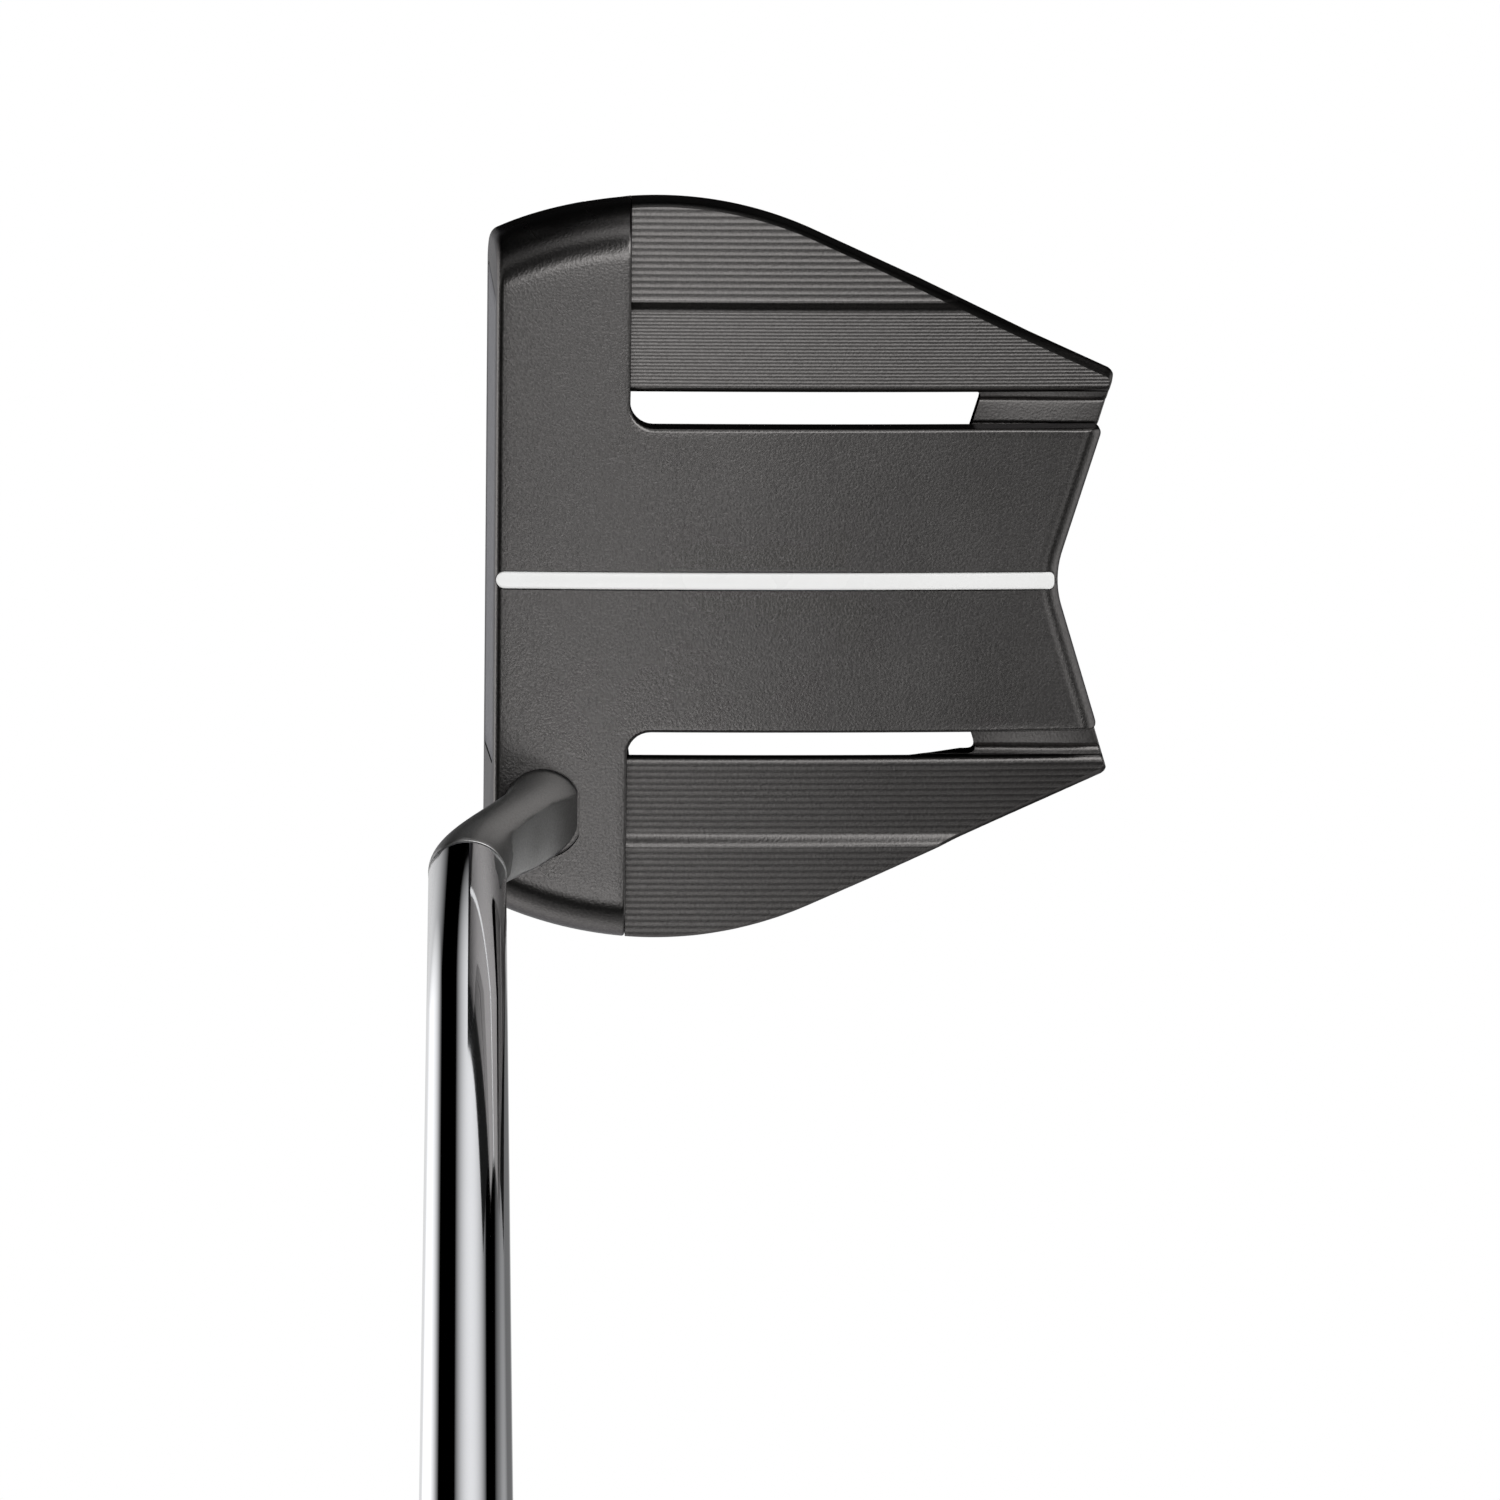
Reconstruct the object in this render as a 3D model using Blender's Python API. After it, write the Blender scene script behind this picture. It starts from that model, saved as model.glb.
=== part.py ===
# Mallet putter for a right-handed player, in metres with +Z up.
# +X runs to the heel and the player, -Y to the target. The origin is the middle of the sole's flat.
# Every y below is measured back from the face's top edge. main() moves the whole club to the origin.

import math

import bmesh
import bpy
from mathutils import Matrix, Vector

mm = 0.001

# The whole club
club_length = 889.0 * mm        # 35 inches along the shaft's axis, from the ground to the grip's end
lie = math.radians(70.0)
face_loft = math.radians(3.0)
head_height = 25.0 * mm         # sole to the highest line of the crown

# Fits between pieces
seat_gap = 0.3 * mm             # between faces that rest on each other
thread_gap = 0.3 * mm           # between a screw and its hole, to a side

# Outline of the head, seen from above: an arc at each end, a straight flank, and a notch at the back
side_radius = 49.0 * mm
side_centre_x = -0.8 * mm
side_centre_y = 21.0 * mm
side_edge_x = side_centre_x + side_radius       # the head's widest place
flank_angle = math.radians(24.2)
notch_angle = math.radians(17.3)
notch_y = 72.3 * mm             # where the notch's two edges would meet
notch_radius = 12.0 * mm
tip_radius = 1.5 * mm

# Heights of the head
arch_radius = 530.0 * mm        # the crown's arch from front to back
arch_y = 14.0 * mm              # the arch's highest line
frame_bottom = 1.2 * mm         # underside of the frame and the striking block
heel_raise_y = 55.0 * mm        # the underside climbs from here to the back
tail_y = 80.0 * mm
tail_thickness = 5.1 * mm       # of the wings at tail_y
end_round_width = 6.5 * mm      # rounding over the ends of the striking block
end_round_height = 9.6 * mm
belly_inset = 4.5 * mm          # how far the outline draws in at the underside
belly_height = 9.0 * mm

# Striking block: the bar behind the face, with the crown plate that reaches back from it
bar_depth = 17.2 * mm
shelf_depth = 6.0 * mm          # the bar's lower back corner is cut away by this for the frame
shelf_y = bar_depth - shelf_depth
shelf_top = 8.0 * mm            # the frame's shelf under the back of the bar
plate_half = 19.8 * mm
plate_thickness = 5.5 * mm
plate_corner = 3.0 * mm

# Wing frame
spine_half = plate_half - 4.4 * mm
slot_width = 4.0 * mm
slot_half = plate_half + slot_width     # inner edge of each wing
slot_back_y = 62.9 * mm
slot_corner = 2.0 * mm
undercut_half = slot_half + 5.2 * mm    # the slots are wider below
undercut_top = 12.0 * mm
undercut_back_y = 57.0 * mm
crease_x = slot_half + 11.8 * mm
crease_width = 0.8 * mm
wing_drop_inner = 5.6 * mm      # wing below crown, at the slot
wing_drop_valley = 6.9 * mm     # at the foot of the crease
wing_drop_crest = 5.9 * mm      # at its top
wing_drop_outer = 7.1 * mm

# Neck, from above
neck_x = side_edge_x - 18.4 * mm
neck_y = 6.3 * mm

# Face insert
insert_toe_x = 9.2 * mm - side_edge_x
insert_heel_x = neck_x - 5.3 * mm
insert_toe_slant = 3.0 * mm     # the toe end leans inwards by this towards the top
insert_low_z = 4.2 * mm
insert_high_z = head_height - 3.8 * mm
insert_thickness = 3.2 * mm
insert_corner = 1.5 * mm
pad_thickness = 0.8 * mm
pad_border = 1.0 * mm

# Alignment line
line_half = 1.1 * mm
line_front_y = 1.2 * mm
line_back_y = 71.8 * mm
line_thickness = 0.5 * mm
line_side_gap = 0.15 * mm

# Neck
neck_half_x = 5.8 * mm
neck_half_y = 5.0 * mm
neck_corner = 3.4 * mm
neck_pocket_depth = 0.8 * mm
neck_side_gap = 0.25 * mm
neck_height = 54.0 * mm         # middle of the shoulder under the shaft
peg_radius = 3.5 * mm
peg_length = 7.0 * mm
post_length = 25.0 * mm
post_tip_chamfer = 0.8 * mm

# Shaft and grip, along the shaft's axis
axis_ground_x = neck_x - 17.6 * mm      # where the shaft's axis meets the ground
axis_y = -3.4 * mm              # the axis runs in front of the face's top edge
shaft_tip_radius = 4.9 * mm
shoulder_radius = shaft_tip_radius + 0.4 * mm   # the neck, where the shaft rests on it
shaft_butt_radius = 7.5 * mm
shaft_wall = 0.55 * mm
shaft_end_gap = 4.0 * mm        # from the shaft's butt to the cap's outer face
grip_length = 267.0 * mm
grip_mouth_wall = 2.0 * mm      # the rubber's thickness at the grip's mouth
grip_mouth_flat_wall = 1.4 * mm
grip_butt_half = 14.6 * mm
grip_butt_flat = 11.6 * mm      # from the axis to the flat for the thumbs
grip_mouth_round = 1.0 * mm
tape_thickness = 0.5 * mm
cap_flange = 2.0 * mm
cap_plug_length = 9.0 * mm
cap_vent_radius = 1.0 * mm

# Sole plate and weights
sole_half = spine_half - 2.4 * mm
sole_front_y = shelf_y + 2.3 * mm
sole_back_y = 56.0 * mm
sole_thickness = 3.0 * mm
sole_corner = 4.0 * mm
weight_x = side_edge_x - 11.8 * mm
weight_y = 24.0 * mm
weight_head_radius = 6.0 * mm
weight_head_height = 2.0 * mm
weight_shank_radius = weight_head_radius - 1.4 * mm
weight_length = 9.0 * mm
washer_thickness = 0.6 * mm

# Screws. Each has its distance from a reference edge, its head and its shank.
screw_recess = 0.4 * mm         # heads sit this far inside the underside
sole_screw_x = sole_half - 4.0 * mm
sole_screw_edge = 5.7 * mm      # from the sole plate's front and back edges
sole_screw_low = 0.3 * mm
sole_screw_head_radius = 2.7 * mm
sole_screw_shank = 1.4 * mm
sole_screw_length = 7.2 * mm
crown_screw_ys = (28.0 * mm, 41.0 * mm, 62.5 * mm)
crown_screw_head = 3.0 * mm
crown_screw_head_radius = 3.3 * mm
crown_screw_shank = 2.0 * mm
crown_screw_thread = 3.0 * mm   # how far it reaches into the crown plate
bar_screw_x = side_edge_x - 12.8 * mm
bar_screw_head = 2.5 * mm
bar_screw_head_radius = shelf_depth / 2 - 0.6 * mm
bar_screw_shank = 1.5 * mm
bar_screw_length = 14.4 * mm
neck_bolt_head = 3.0 * mm
neck_bolt_head_radius = 3.2 * mm
neck_bolt_shank = 2.0 * mm
neck_bolt_grip = 4.8 * mm       # how far it reaches into the neck's peg

# Facets
round_steps = 24
ring_steps = 32
arch_steps = 12

body_pvd = ((0.115, 0.111, 0.108), 0.36, 1.0)
frame_pvd = ((0.100, 0.098, 0.096), 0.40, 1.0)
insert_alloy = ((0.34, 0.34, 0.35), 0.32, 1.0)
white_enamel = ((0.86, 0.86, 0.84), 0.30, 0.0)
bright_chrome = ((0.78, 0.79, 0.80), 0.06, 1.0)
dark_screw = ((0.07, 0.07, 0.07), 0.35, 1.0)
tungsten = ((0.30, 0.30, 0.31), 0.28, 1.0)
black_rubber = ((0.02, 0.02, 0.02), 0.80, 0.0)
grey_pad = ((0.05, 0.05, 0.055), 0.75, 0.0)
paper_tape = ((0.62, 0.58, 0.47), 0.85, 0.0)

sides = (("toe", -1), ("heel", 1))


def clear_scene():
    for old in list(bpy.data.objects):
        bpy.data.objects.remove(old, do_unlink=True)


# ---- objects and modifiers ----

def finish_object(name, mesh_builder, look):
    """Turns a bmesh into a named object with its own material, faces pointing out."""
    bmesh.ops.recalc_face_normals(mesh_builder, faces=mesh_builder.faces)
    mesh = bpy.data.meshes.new(name)
    mesh_builder.to_mesh(mesh)
    mesh_builder.free()
    made = bpy.data.objects.new(name, mesh)
    bpy.context.scene.collection.objects.link(made)
    if look is not None:
        colour, roughness, metallic = look
        material = bpy.data.materials.new(name)
        material.use_nodes = True
        shader = material.node_tree.nodes["Principled BSDF"]
        shader.inputs["Base Color"].default_value = (*colour, 1.0)
        shader.inputs["Roughness"].default_value = roughness
        shader.inputs["Metallic"].default_value = metallic
        mesh.materials.append(material)
        mesh.shade_smooth()
        mesh.set_sharp_from_angle(angle=math.radians(28))
    return made


def loft(name, rings, look=None, ends_meet=False):
    """A solid through rings of equal length. Its ends are capped, or meet to close a tube's wall."""
    mesh_builder = bmesh.new()
    rows = [[mesh_builder.verts.new(point) for point in ring] for ring in rings]
    count = len(rows[0])
    pairs = list(zip(rows, rows[1:]))
    if ends_meet:
        pairs.append((rows[-1], rows[0]))
    for low, high in pairs:
        for here in range(count):
            after = (here + 1) % count
            mesh_builder.faces.new((low[here], low[after], high[after], high[here]))
    if not ends_meet:
        mesh_builder.faces.new(rows[0])
        mesh_builder.faces.new(rows[-1])
    return finish_object(name, mesh_builder, look)


def prism(name, loop, low, high, look=None):
    """Upright prism over a loop of (x, y) points."""
    return loft(name, [[(x, y, z) for x, y in loop] for z in (low, high)], look)


def side_slab(name, profile, left, right, look=None):
    """Prism along X over a profile of (y, z) points."""
    return loft(name, [[(x, y, z) for y, z in profile] for x in (left, right)], look)


def turned(name, profile, look=None, centre=(0.0, 0.0), steps=round_steps):
    """Solid turned about an upright axis; the profile of (radius, z) runs bottom to top."""
    rings = []
    for radius, z in profile:
        turns = [2 * math.pi * step / steps for step in range(steps)]
        rings.append([(centre[0] + radius * math.cos(a), centre[1] + radius * math.sin(a), z)
                      for a in turns])
    return loft(name, rings, look)


def combine(target, other, operation):
    modifier = target.modifiers.new(operation.lower() + "_" + other.name, "BOOLEAN")
    modifier.object = other
    modifier.operation = operation
    modifier.solver = "EXACT"
    other.hide_render = True
    other.display_type = "WIRE"


def cut(target, *cutters):
    for cutter in cutters:
        combine(target, cutter, "DIFFERENCE")


def hole(name, x, y, radius, low, high, steps=round_steps):
    return turned(name, [(radius, low), (radius, high)], None, (x, y), steps)


# ---- outlines ----

def corner_arc(corner, before, after, radius, steps):
    """Points of the round that replaces a corner between two directions leaving it."""
    corner = Vector(corner)
    before = Vector(before).normalized()
    after = Vector(after).normalized()
    half = before.angle(after) / 2
    centre = corner + (before + after).normalized() * (radius / math.sin(half))
    start = corner + before * (radius / math.tan(half)) - centre
    end = corner + after * (radius / math.tan(half)) - centre
    turn = start.angle_signed(end)
    return [tuple(centre + Matrix.Rotation(-turn * step / steps, 2) @ start)
            for step in range(steps + 1)]


def rounded_rectangle(left, right, front, back, radius, steps=4):
    points = []
    for corner, before, after in (((right, front), (-1, 0), (0, 1)), ((right, back), (0, -1), (-1, 0)),
                                  ((left, back), (1, 0), (0, -1)), ((left, front), (0, 1), (1, 0))):
        points += corner_arc(corner, before, after, radius, steps)
    return points


def mirrored(half):
    """Closes a loop from its heel half, which runs from the front to the middle of the back."""
    other = [(-x, y) for x, y in reversed(half) if x > 1e-9]
    return half + other


def side_x(y, inset=0.0):
    return side_centre_x + math.sqrt((side_radius - inset) ** 2 - (y - side_centre_y) ** 2)


def notch_points(inset=0.0):
    """The notch's rounded bottom, from its heel side to the middle."""
    along = (math.cos(notch_angle), math.sin(notch_angle))
    bottom = (0.0, notch_y - inset / math.cos(notch_angle))
    return corner_arc(bottom, along, (-along[0], along[1]), notch_radius, 6)[:4]


def head_half(front, inset=0.0):
    """Heel half of the head's outline behind front, drawn in by inset."""
    reach = side_radius - inset
    start = math.asin((front - side_centre_y) / reach)
    points = []
    for step in range(9):
        turn = start + (flank_angle - start) * step / 8
        points.append((side_centre_x + reach * math.cos(turn), side_centre_y + reach * math.sin(turn)))
    flank = Vector((-math.sin(flank_angle), math.cos(flank_angle)))
    from_x, from_y = points[-1]
    rise = math.tan(notch_angle)
    edge_y = notch_y - inset / math.cos(notch_angle)
    distance = (edge_y + rise * from_x - from_y) / (flank.y - rise * flank.x)
    corner = (from_x + flank.x * distance, from_y + flank.y * distance)
    radius = max(tip_radius - inset, 0.3 * mm)
    points += corner_arc(corner, -flank, (-math.cos(notch_angle), -math.sin(notch_angle)), radius, 4)
    return points + notch_points(inset)


def belly(z):
    """Inset of the outline at a height: a quarter ellipse under the widest level."""
    depth = min(max((belly_height - z) / (belly_height - frame_bottom), 0.0), 1.0)
    return belly_inset * (1 - math.sqrt(1 - (0.96 * depth) ** 2)) / (1 - math.sqrt(1 - 0.96 ** 2))


def end_round(z):
    """Inset of the striking block's ends towards the crown: a quarter ellipse."""
    depth = min(max((z - head_height + end_round_height) / end_round_height, 0.0), 1.0)
    return end_round_width * (1 - math.sqrt(max(1 - depth ** 2, 0.0)))


def arch(y):
    return head_height - (y - arch_y) ** 2 / (2 * arch_radius)


def face_y(z):
    return -(head_height - z) * math.tan(face_loft)


def belly_levels():
    steps = (0.0, 0.12, 0.3, 0.6, 1.0)
    return [frame_bottom + (belly_height - frame_bottom) * step for step in steps]


def arch_line(front, back, drop):
    """Points (y, z) along the crown's arch, lowered by drop."""
    ys = [front + (back - front) * step / arch_steps for step in range(arch_steps + 1)]
    return [(y, arch(y) - drop) for y in ys]


# ---- screws ----

def socket(name, x, y, radius, low, depth):
    """Cutter for a hexagon socket that opens downwards."""
    return hole(name, x, y, radius, low - 2 * mm, low + depth, steps=6)


def cap_screw(name, x, y, low, top, shank, head, head_height_value):
    """Socket-head screw that points up, with its head at the bottom."""
    chamfer = 0.3 * mm
    profile = [(head - chamfer, low), (head, low + chamfer), (head, low + head_height_value),
               (shank, low + head_height_value), (shank, top - chamfer), (shank - chamfer, top)]
    screw = turned(name, profile, dark_screw, (x, y), 20)
    cut(screw, socket(name + "_socket", x, y, head * 0.5, low, head_height_value * 0.6))
    return screw


def cap_screw_holes(name, x, y, low, seat, top, shank, head):
    """Cutters for such a screw: the counterbore from below, and the hole for its shank."""
    return (hole(name + "_bore", x, y, head + thread_gap, low, seat),
            hole(name + "_hole", x, y, shank + thread_gap, low, top + seat_gap))


# ---- the head ----

def crown_screw_span(y):
    """Lowest point, head seat and end of the crown screw at a distance from the face."""
    low = frame_underside(y) + screw_recess
    if y < sole_back_y + crown_screw_head_radius:
        low = sole_thickness + 2 * seat_gap
    else:
        low += crown_screw_head_radius * underside_slope()
    return low, low + crown_screw_head, arch(y) - plate_thickness + crown_screw_thread


def bar_screw_y():
    """The bar screws stand in the middle of the frame's shelf."""
    return (shelf_y + bar_depth) / 2 + seat_gap


def screw_low():
    """Underside of the heads that sit in the flat part of the underside."""
    return frame_bottom + screw_recess


def neck_bolt_top():
    return neck_floor() - peg_length + neck_bolt_grip


def neck_floor():
    return arch(neck_y) - neck_pocket_depth


def face_frame(piece):
    """Leans a piece that was modelled on an upright face back by the loft."""
    piece.location = (0.0, 0.0, head_height)
    piece.rotation_euler = (-face_loft, 0.0, 0.0)


def insert_loop(grow):
    """Outline of the face insert as (x, height below the crown), grown by a margin."""
    low = insert_low_z - head_height - grow
    high = insert_high_z - head_height + grow
    left = insert_toe_x - grow
    right = insert_heel_x + grow
    radius = insert_corner + max(grow, 0.0)
    lean = (insert_toe_slant, high - low)
    points = []
    for corner, before, after in (((left, low), lean, (1, 0)), ((right, low), (-1, 0), (0, 1)),
                                  ((right, high), (0, -1), (-1, 0)),
                                  ((left + insert_toe_slant, high), (1, 0), (-lean[0], -lean[1]))):
        points += corner_arc(corner, before, after, radius, 4)
    return points


def face_slab(name, grow, front, back, look=None):
    """A slab with the insert's outline, between two depths behind the face."""
    slab = loft(name, [[(x, depth, z) for x, z in insert_loop(grow)] for depth in (front, back)], look)
    face_frame(slab)
    return slab


def make_striking_block():
    levels = belly_levels() + [head_height - end_round_height * (1 - share)
                               for share in (0.0, 0.35, 0.6, 0.78, 0.9, 0.97)]
    levels = [-4 * mm] + levels + [head_height + 1 * mm]
    rings = []
    front = -4 * mm
    for z in levels:
        inset = belly(z) + end_round(min(z, head_height - 0.05 * mm))
        ys = [front + (bar_depth - front) * step / 8 for step in range(9)]
        rings.append([(x, y, z) for x, y in mirrored([(side_x(y, inset), y) for y in ys])])
    block = loft("striking_block", rings, body_pvd)
    root = bar_depth - 3 * mm
    half = [(plate_half + plate_corner, root)]
    half += corner_arc((plate_half, bar_depth - 0.05 * mm), (1, 0), (0, 1), plate_corner, 4)
    edge_y = notch_y + plate_half * math.tan(notch_angle)
    half += corner_arc((plate_half, edge_y), (0, -1), (-math.cos(notch_angle), -math.sin(notch_angle)),
                       0.8 * mm, 3)
    half += notch_points()
    plate = prism("crown_plate_blank", mirrored(half), -5 * mm, head_height + 2 * mm)
    combine(block, plate, "UNION")
    far = 84 * mm
    lead = 0.9 * mm
    profile = [(face_y(frame_bottom) + lead * 1.6, frame_bottom), (shelf_y, frame_bottom),
               (shelf_y, shelf_top + seat_gap), (bar_depth, shelf_top + seat_gap)]
    profile += arch_line(bar_depth, far, plate_thickness)
    profile += list(reversed(arch_line(0.0, far, 0.0)))
    profile += [(face_y(frame_bottom + lead), frame_bottom + lead)]
    combine(block, side_slab("block_side", profile, -60 * mm, 60 * mm), "INTERSECT")
    pocket = insert_thickness + pad_thickness + 2 * seat_gap
    cut(block, face_slab("insert_pocket", seat_gap, -3 * mm, pocket))
    grow = neck_side_gap
    loop = rounded_rectangle(neck_x - neck_half_x - grow, neck_x + neck_half_x + grow,
                             neck_y - neck_half_y - grow, neck_y + neck_half_y + grow, neck_corner)
    cut(block, prism("neck_pocket", loop, neck_floor(), head_height + 5 * mm),
        hole("peg_hole", neck_x, neck_y, peg_radius + thread_gap,
             neck_floor() - peg_length - seat_gap, head_height + 4 * mm))
    cut(block, *cap_screw_holes("neck_bolt", neck_x, neck_y, -3 * mm,
                                screw_low() + neck_bolt_head + seat_gap, neck_floor() - 1 * mm,
                                neck_bolt_shank, neck_bolt_head_radius))
    for y in crown_screw_ys:
        low, seat, top = crown_screw_span(y)
        cut(block, hole(f"crown_thread_{round(y / mm)}", 0.0, y, crown_screw_shank + thread_gap,
                        low, top + seat_gap))
    for side, sign in sides:
        cut(block, hole("bar_thread_" + side, sign * bar_screw_x, bar_screw_y(),
                        bar_screw_shank + thread_gap, 0.0, screw_low() + bar_screw_length + seat_gap))
    cut(block, line_solid("line_groove", line_side_gap, line_thickness + seat_gap, -3 * mm))


def line_loop(grow):
    half = line_half + grow
    return rounded_rectangle(-half, half, line_front_y - grow, line_back_y + grow, half * 0.98, 6)


def line_solid(name, grow, depth, lift, look=None):
    """The line's outline, from a depth under the arched crown up to a lift below it."""
    solid = prism(name, line_loop(grow), 0.0, head_height + 10 * mm, look)
    profile = arch_line(line_front_y - 4 * mm, line_back_y + 4 * mm, depth)
    profile += list(reversed(arch_line(line_front_y - 4 * mm, line_back_y + 4 * mm, lift)))
    combine(solid, side_slab(name + "_side", profile, -5 * mm, 5 * mm), "INTERSECT")
    return solid


def wing_top(x, y):
    """Height of the frame's upper side. The middle stays under the crown plate."""
    under = plate_thickness + seat_gap
    knots = [(0.0, under), (slot_half - 0.6 * mm, under), (slot_half, wing_drop_inner),
             (crease_x - crease_width, wing_drop_valley), (crease_x, wing_drop_crest),
             (side_edge_x, wing_drop_outer), (side_edge_x + 12 * mm, wing_drop_outer + 1 * mm)]
    drops = [drop for _, drop in knots]
    xs = [knot_x for knot_x, _ in knots]
    place = max(index for index, knot_x in enumerate(xs[:-1]) if abs(x) >= knot_x - 1e-9)
    share = (abs(x) - xs[place]) / (xs[place + 1] - xs[place])
    return arch(y) - (drops[place] + share * (drops[place + 1] - drops[place]))


def underside_slope():
    """The underside climbs so that the wings keep their thickness at the back."""
    rise = arch(tail_y) - wing_drop_outer - tail_thickness - frame_bottom
    return rise / (tail_y - heel_raise_y)


def frame_underside(y):
    return frame_bottom + max(y - heel_raise_y, 0.0) * underside_slope()


def height_block():
    """A block with the frame's upper and lower sides, wider than the frame."""
    inner = [0.0, slot_half - 0.6 * mm, slot_half, crease_x - crease_width, crease_x,
             side_edge_x + 2 * mm]
    xs = [-x for x in reversed(inner[1:])] + inner
    ys = [8 * mm, 20 * mm, 30 * mm, 42 * mm, heel_raise_y, 66 * mm, 76 * mm, 86 * mm]
    mesh_builder = bmesh.new()
    sheets = []
    for height in (lambda x, y: frame_underside(y), wing_top):
        sheets.append([[mesh_builder.verts.new((x, y, height(x, y))) for x in xs] for y in ys])
    for sheet in sheets:
        for row, after in zip(sheet, sheet[1:]):
            for here in range(len(xs) - 1):
                mesh_builder.faces.new((row[here], row[here + 1], after[here + 1], after[here]))
    edges = [[sheet[0] for sheet in sheets], [sheet[-1] for sheet in sheets]]
    edges += [[[row[place] for row in sheet] for sheet in sheets] for place in (0, -1)]
    for low, high in edges:
        for here in range(len(low) - 1):
            mesh_builder.faces.new((low[here], low[here + 1], high[here + 1], high[here]))
    return finish_object("frame_heights", mesh_builder, None)


def slot_cutter(name, sign, inner, outer, front, back, low, high, corner):
    left, right = sorted((sign * inner, sign * outer))
    return prism(name, rounded_rectangle(left, right, front, back, corner), low, high)


def make_wing_frame():
    front = shelf_y + seat_gap
    rings = [[(x, y, z) for x, y in mirrored(head_half(front, belly(z)))]
             for z in [-2 * mm] + belly_levels() + [head_height + 4 * mm]]
    frame = loft("wing_frame", rings, frame_pvd)
    combine(frame, height_block(), "INTERSECT")
    wall = bar_depth + seat_gap
    cut(frame, prism("shelf_cut", rounded_rectangle(-70 * mm, 70 * mm, -20 * mm, wall, 1 * mm, 1),
                     shelf_top, 60 * mm))
    for side, sign in sides:
        cut(frame,
            slot_cutter("slot_" + side, sign, spine_half, slot_half, wall + 0.05 * mm, slot_back_y,
                        -9 * mm, 60 * mm, slot_corner),
            slot_cutter("undercut_" + side, sign, spine_half + 3 * mm, undercut_half, wall + 0.3 * mm,
                        undercut_back_y, -9 * mm, undercut_top, slot_corner),
            hole("weight_bore_" + side, sign * weight_x, weight_y, weight_head_radius + thread_gap,
                 -3 * mm, weight_seat() + washer_thickness + seat_gap),
            hole("weight_hole_" + side, sign * weight_x, weight_y, weight_shank_radius + thread_gap,
                 -3 * mm, frame_bottom + weight_length + seat_gap),
            *cap_screw_holes("bar_screw_" + side, sign * bar_screw_x, bar_screw_y(), -3 * mm,
                             screw_low() + bar_screw_head + seat_gap, shelf_top + 4 * mm,
                             bar_screw_shank, bar_screw_head_radius))
    grow = seat_gap
    cut(frame, prism("sole_pocket", rounded_rectangle(-sole_half - grow, sole_half + grow,
                                                      sole_front_y - grow, sole_back_y + grow,
                                                      sole_corner + grow), -3 * mm,
                     sole_thickness + seat_gap))
    for y in crown_screw_ys:
        low, seat, top = crown_screw_span(y)
        cut(frame, *cap_screw_holes(f"crown_screw_{round(y / mm)}", 0.0, y, -3 * mm, seat + seat_gap,
                                    head_height, crown_screw_shank, crown_screw_head_radius))
    for number, (x, y) in enumerate(sole_screw_places(), 1):
        cut(frame, hole(f"sole_thread_{number}", x, y, sole_screw_shank + thread_gap, -3 * mm,
                        sole_screw_low + sole_screw_length + seat_gap))


def weight_seat():
    """Level where the weight's washer starts, above the weight's head."""
    return frame_bottom - 0.2 * mm + weight_head_height + seat_gap


def make_weights():
    for side, sign in sides:
        low = frame_bottom - 0.2 * mm
        shoulder = low + weight_head_height
        top = frame_bottom + weight_length
        profile = [(weight_head_radius - 0.4 * mm, low), (weight_head_radius, low + 0.4 * mm),
                   (weight_head_radius, shoulder), (weight_shank_radius, shoulder),
                   (weight_shank_radius, top - 0.4 * mm), (weight_shank_radius - 0.4 * mm, top)]
        weight = turned("sole_weight_" + side, profile, tungsten, (sign * weight_x, weight_y), 32)
        cut(weight, socket("weight_socket_" + side, sign * weight_x, weight_y, 2.4 * mm, low, 3 * mm))
        ring = [(weight_shank_radius + seat_gap, 0.0), (weight_head_radius - 0.1 * mm, 0.0),
                (weight_head_radius - 0.1 * mm, washer_thickness),
                (weight_shank_radius + seat_gap, washer_thickness)]
        washer = ring_solid("weight_washer_" + side, ring, black_rubber, round_steps)
        washer.location = (sign * weight_x, weight_y, weight_seat())


def ring_solid(name, section, look, steps):
    """Ring turned about Z from a closed section of (radius, z) points."""
    turns = [2 * math.pi * step / steps for step in range(steps)]
    rings = [[(radius * math.cos(a), radius * math.sin(a), z) for a in turns] for radius, z in section]
    return loft(name, rings, look, ends_meet=True)


def sole_screw_places():
    ys = (sole_front_y + sole_screw_edge, sole_back_y - sole_screw_edge)
    return [(sign * sole_screw_x, y) for y in ys for _, sign in sides]


def make_sole():
    chamfer = 0.5 * mm
    rings = []
    for z, inset in ((0.0, chamfer), (chamfer, 0.0), (sole_thickness, 0.0)):
        loop = rounded_rectangle(-sole_half + inset, sole_half - inset, sole_front_y + inset,
                                 sole_back_y - inset, sole_corner - inset)
        rings.append([(x, y, z) for x, y in loop])
    plate = loft("sole_plate", rings, body_pvd)
    head = sole_screw_head_radius
    shank = sole_screw_shank
    gap = thread_gap
    edge = 0.2 * mm
    cone_low = sole_screw_low + edge
    cone_high = cone_low + head - shank
    for number, (x, y) in enumerate(sole_screw_places(), 1):
        sink = [(head + gap, -1 * mm), (head + gap, cone_low + gap), (shank + gap, cone_high + gap),
                (shank + gap, sole_thickness + 6 * mm)]
        cut(plate, turned(f"sole_sink_{number}", sink, None, (x, y)))
        body = [(head - edge, sole_screw_low), (head, cone_low), (shank, cone_high),
                (shank, sole_screw_low + sole_screw_length)]
        screw = turned(f"sole_screw_{number}", body, dark_screw, (x, y), 20)
        cut(screw, socket(f"sole_socket_{number}", x, y, 1.2 * mm, sole_screw_low, 1.1 * mm))


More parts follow.
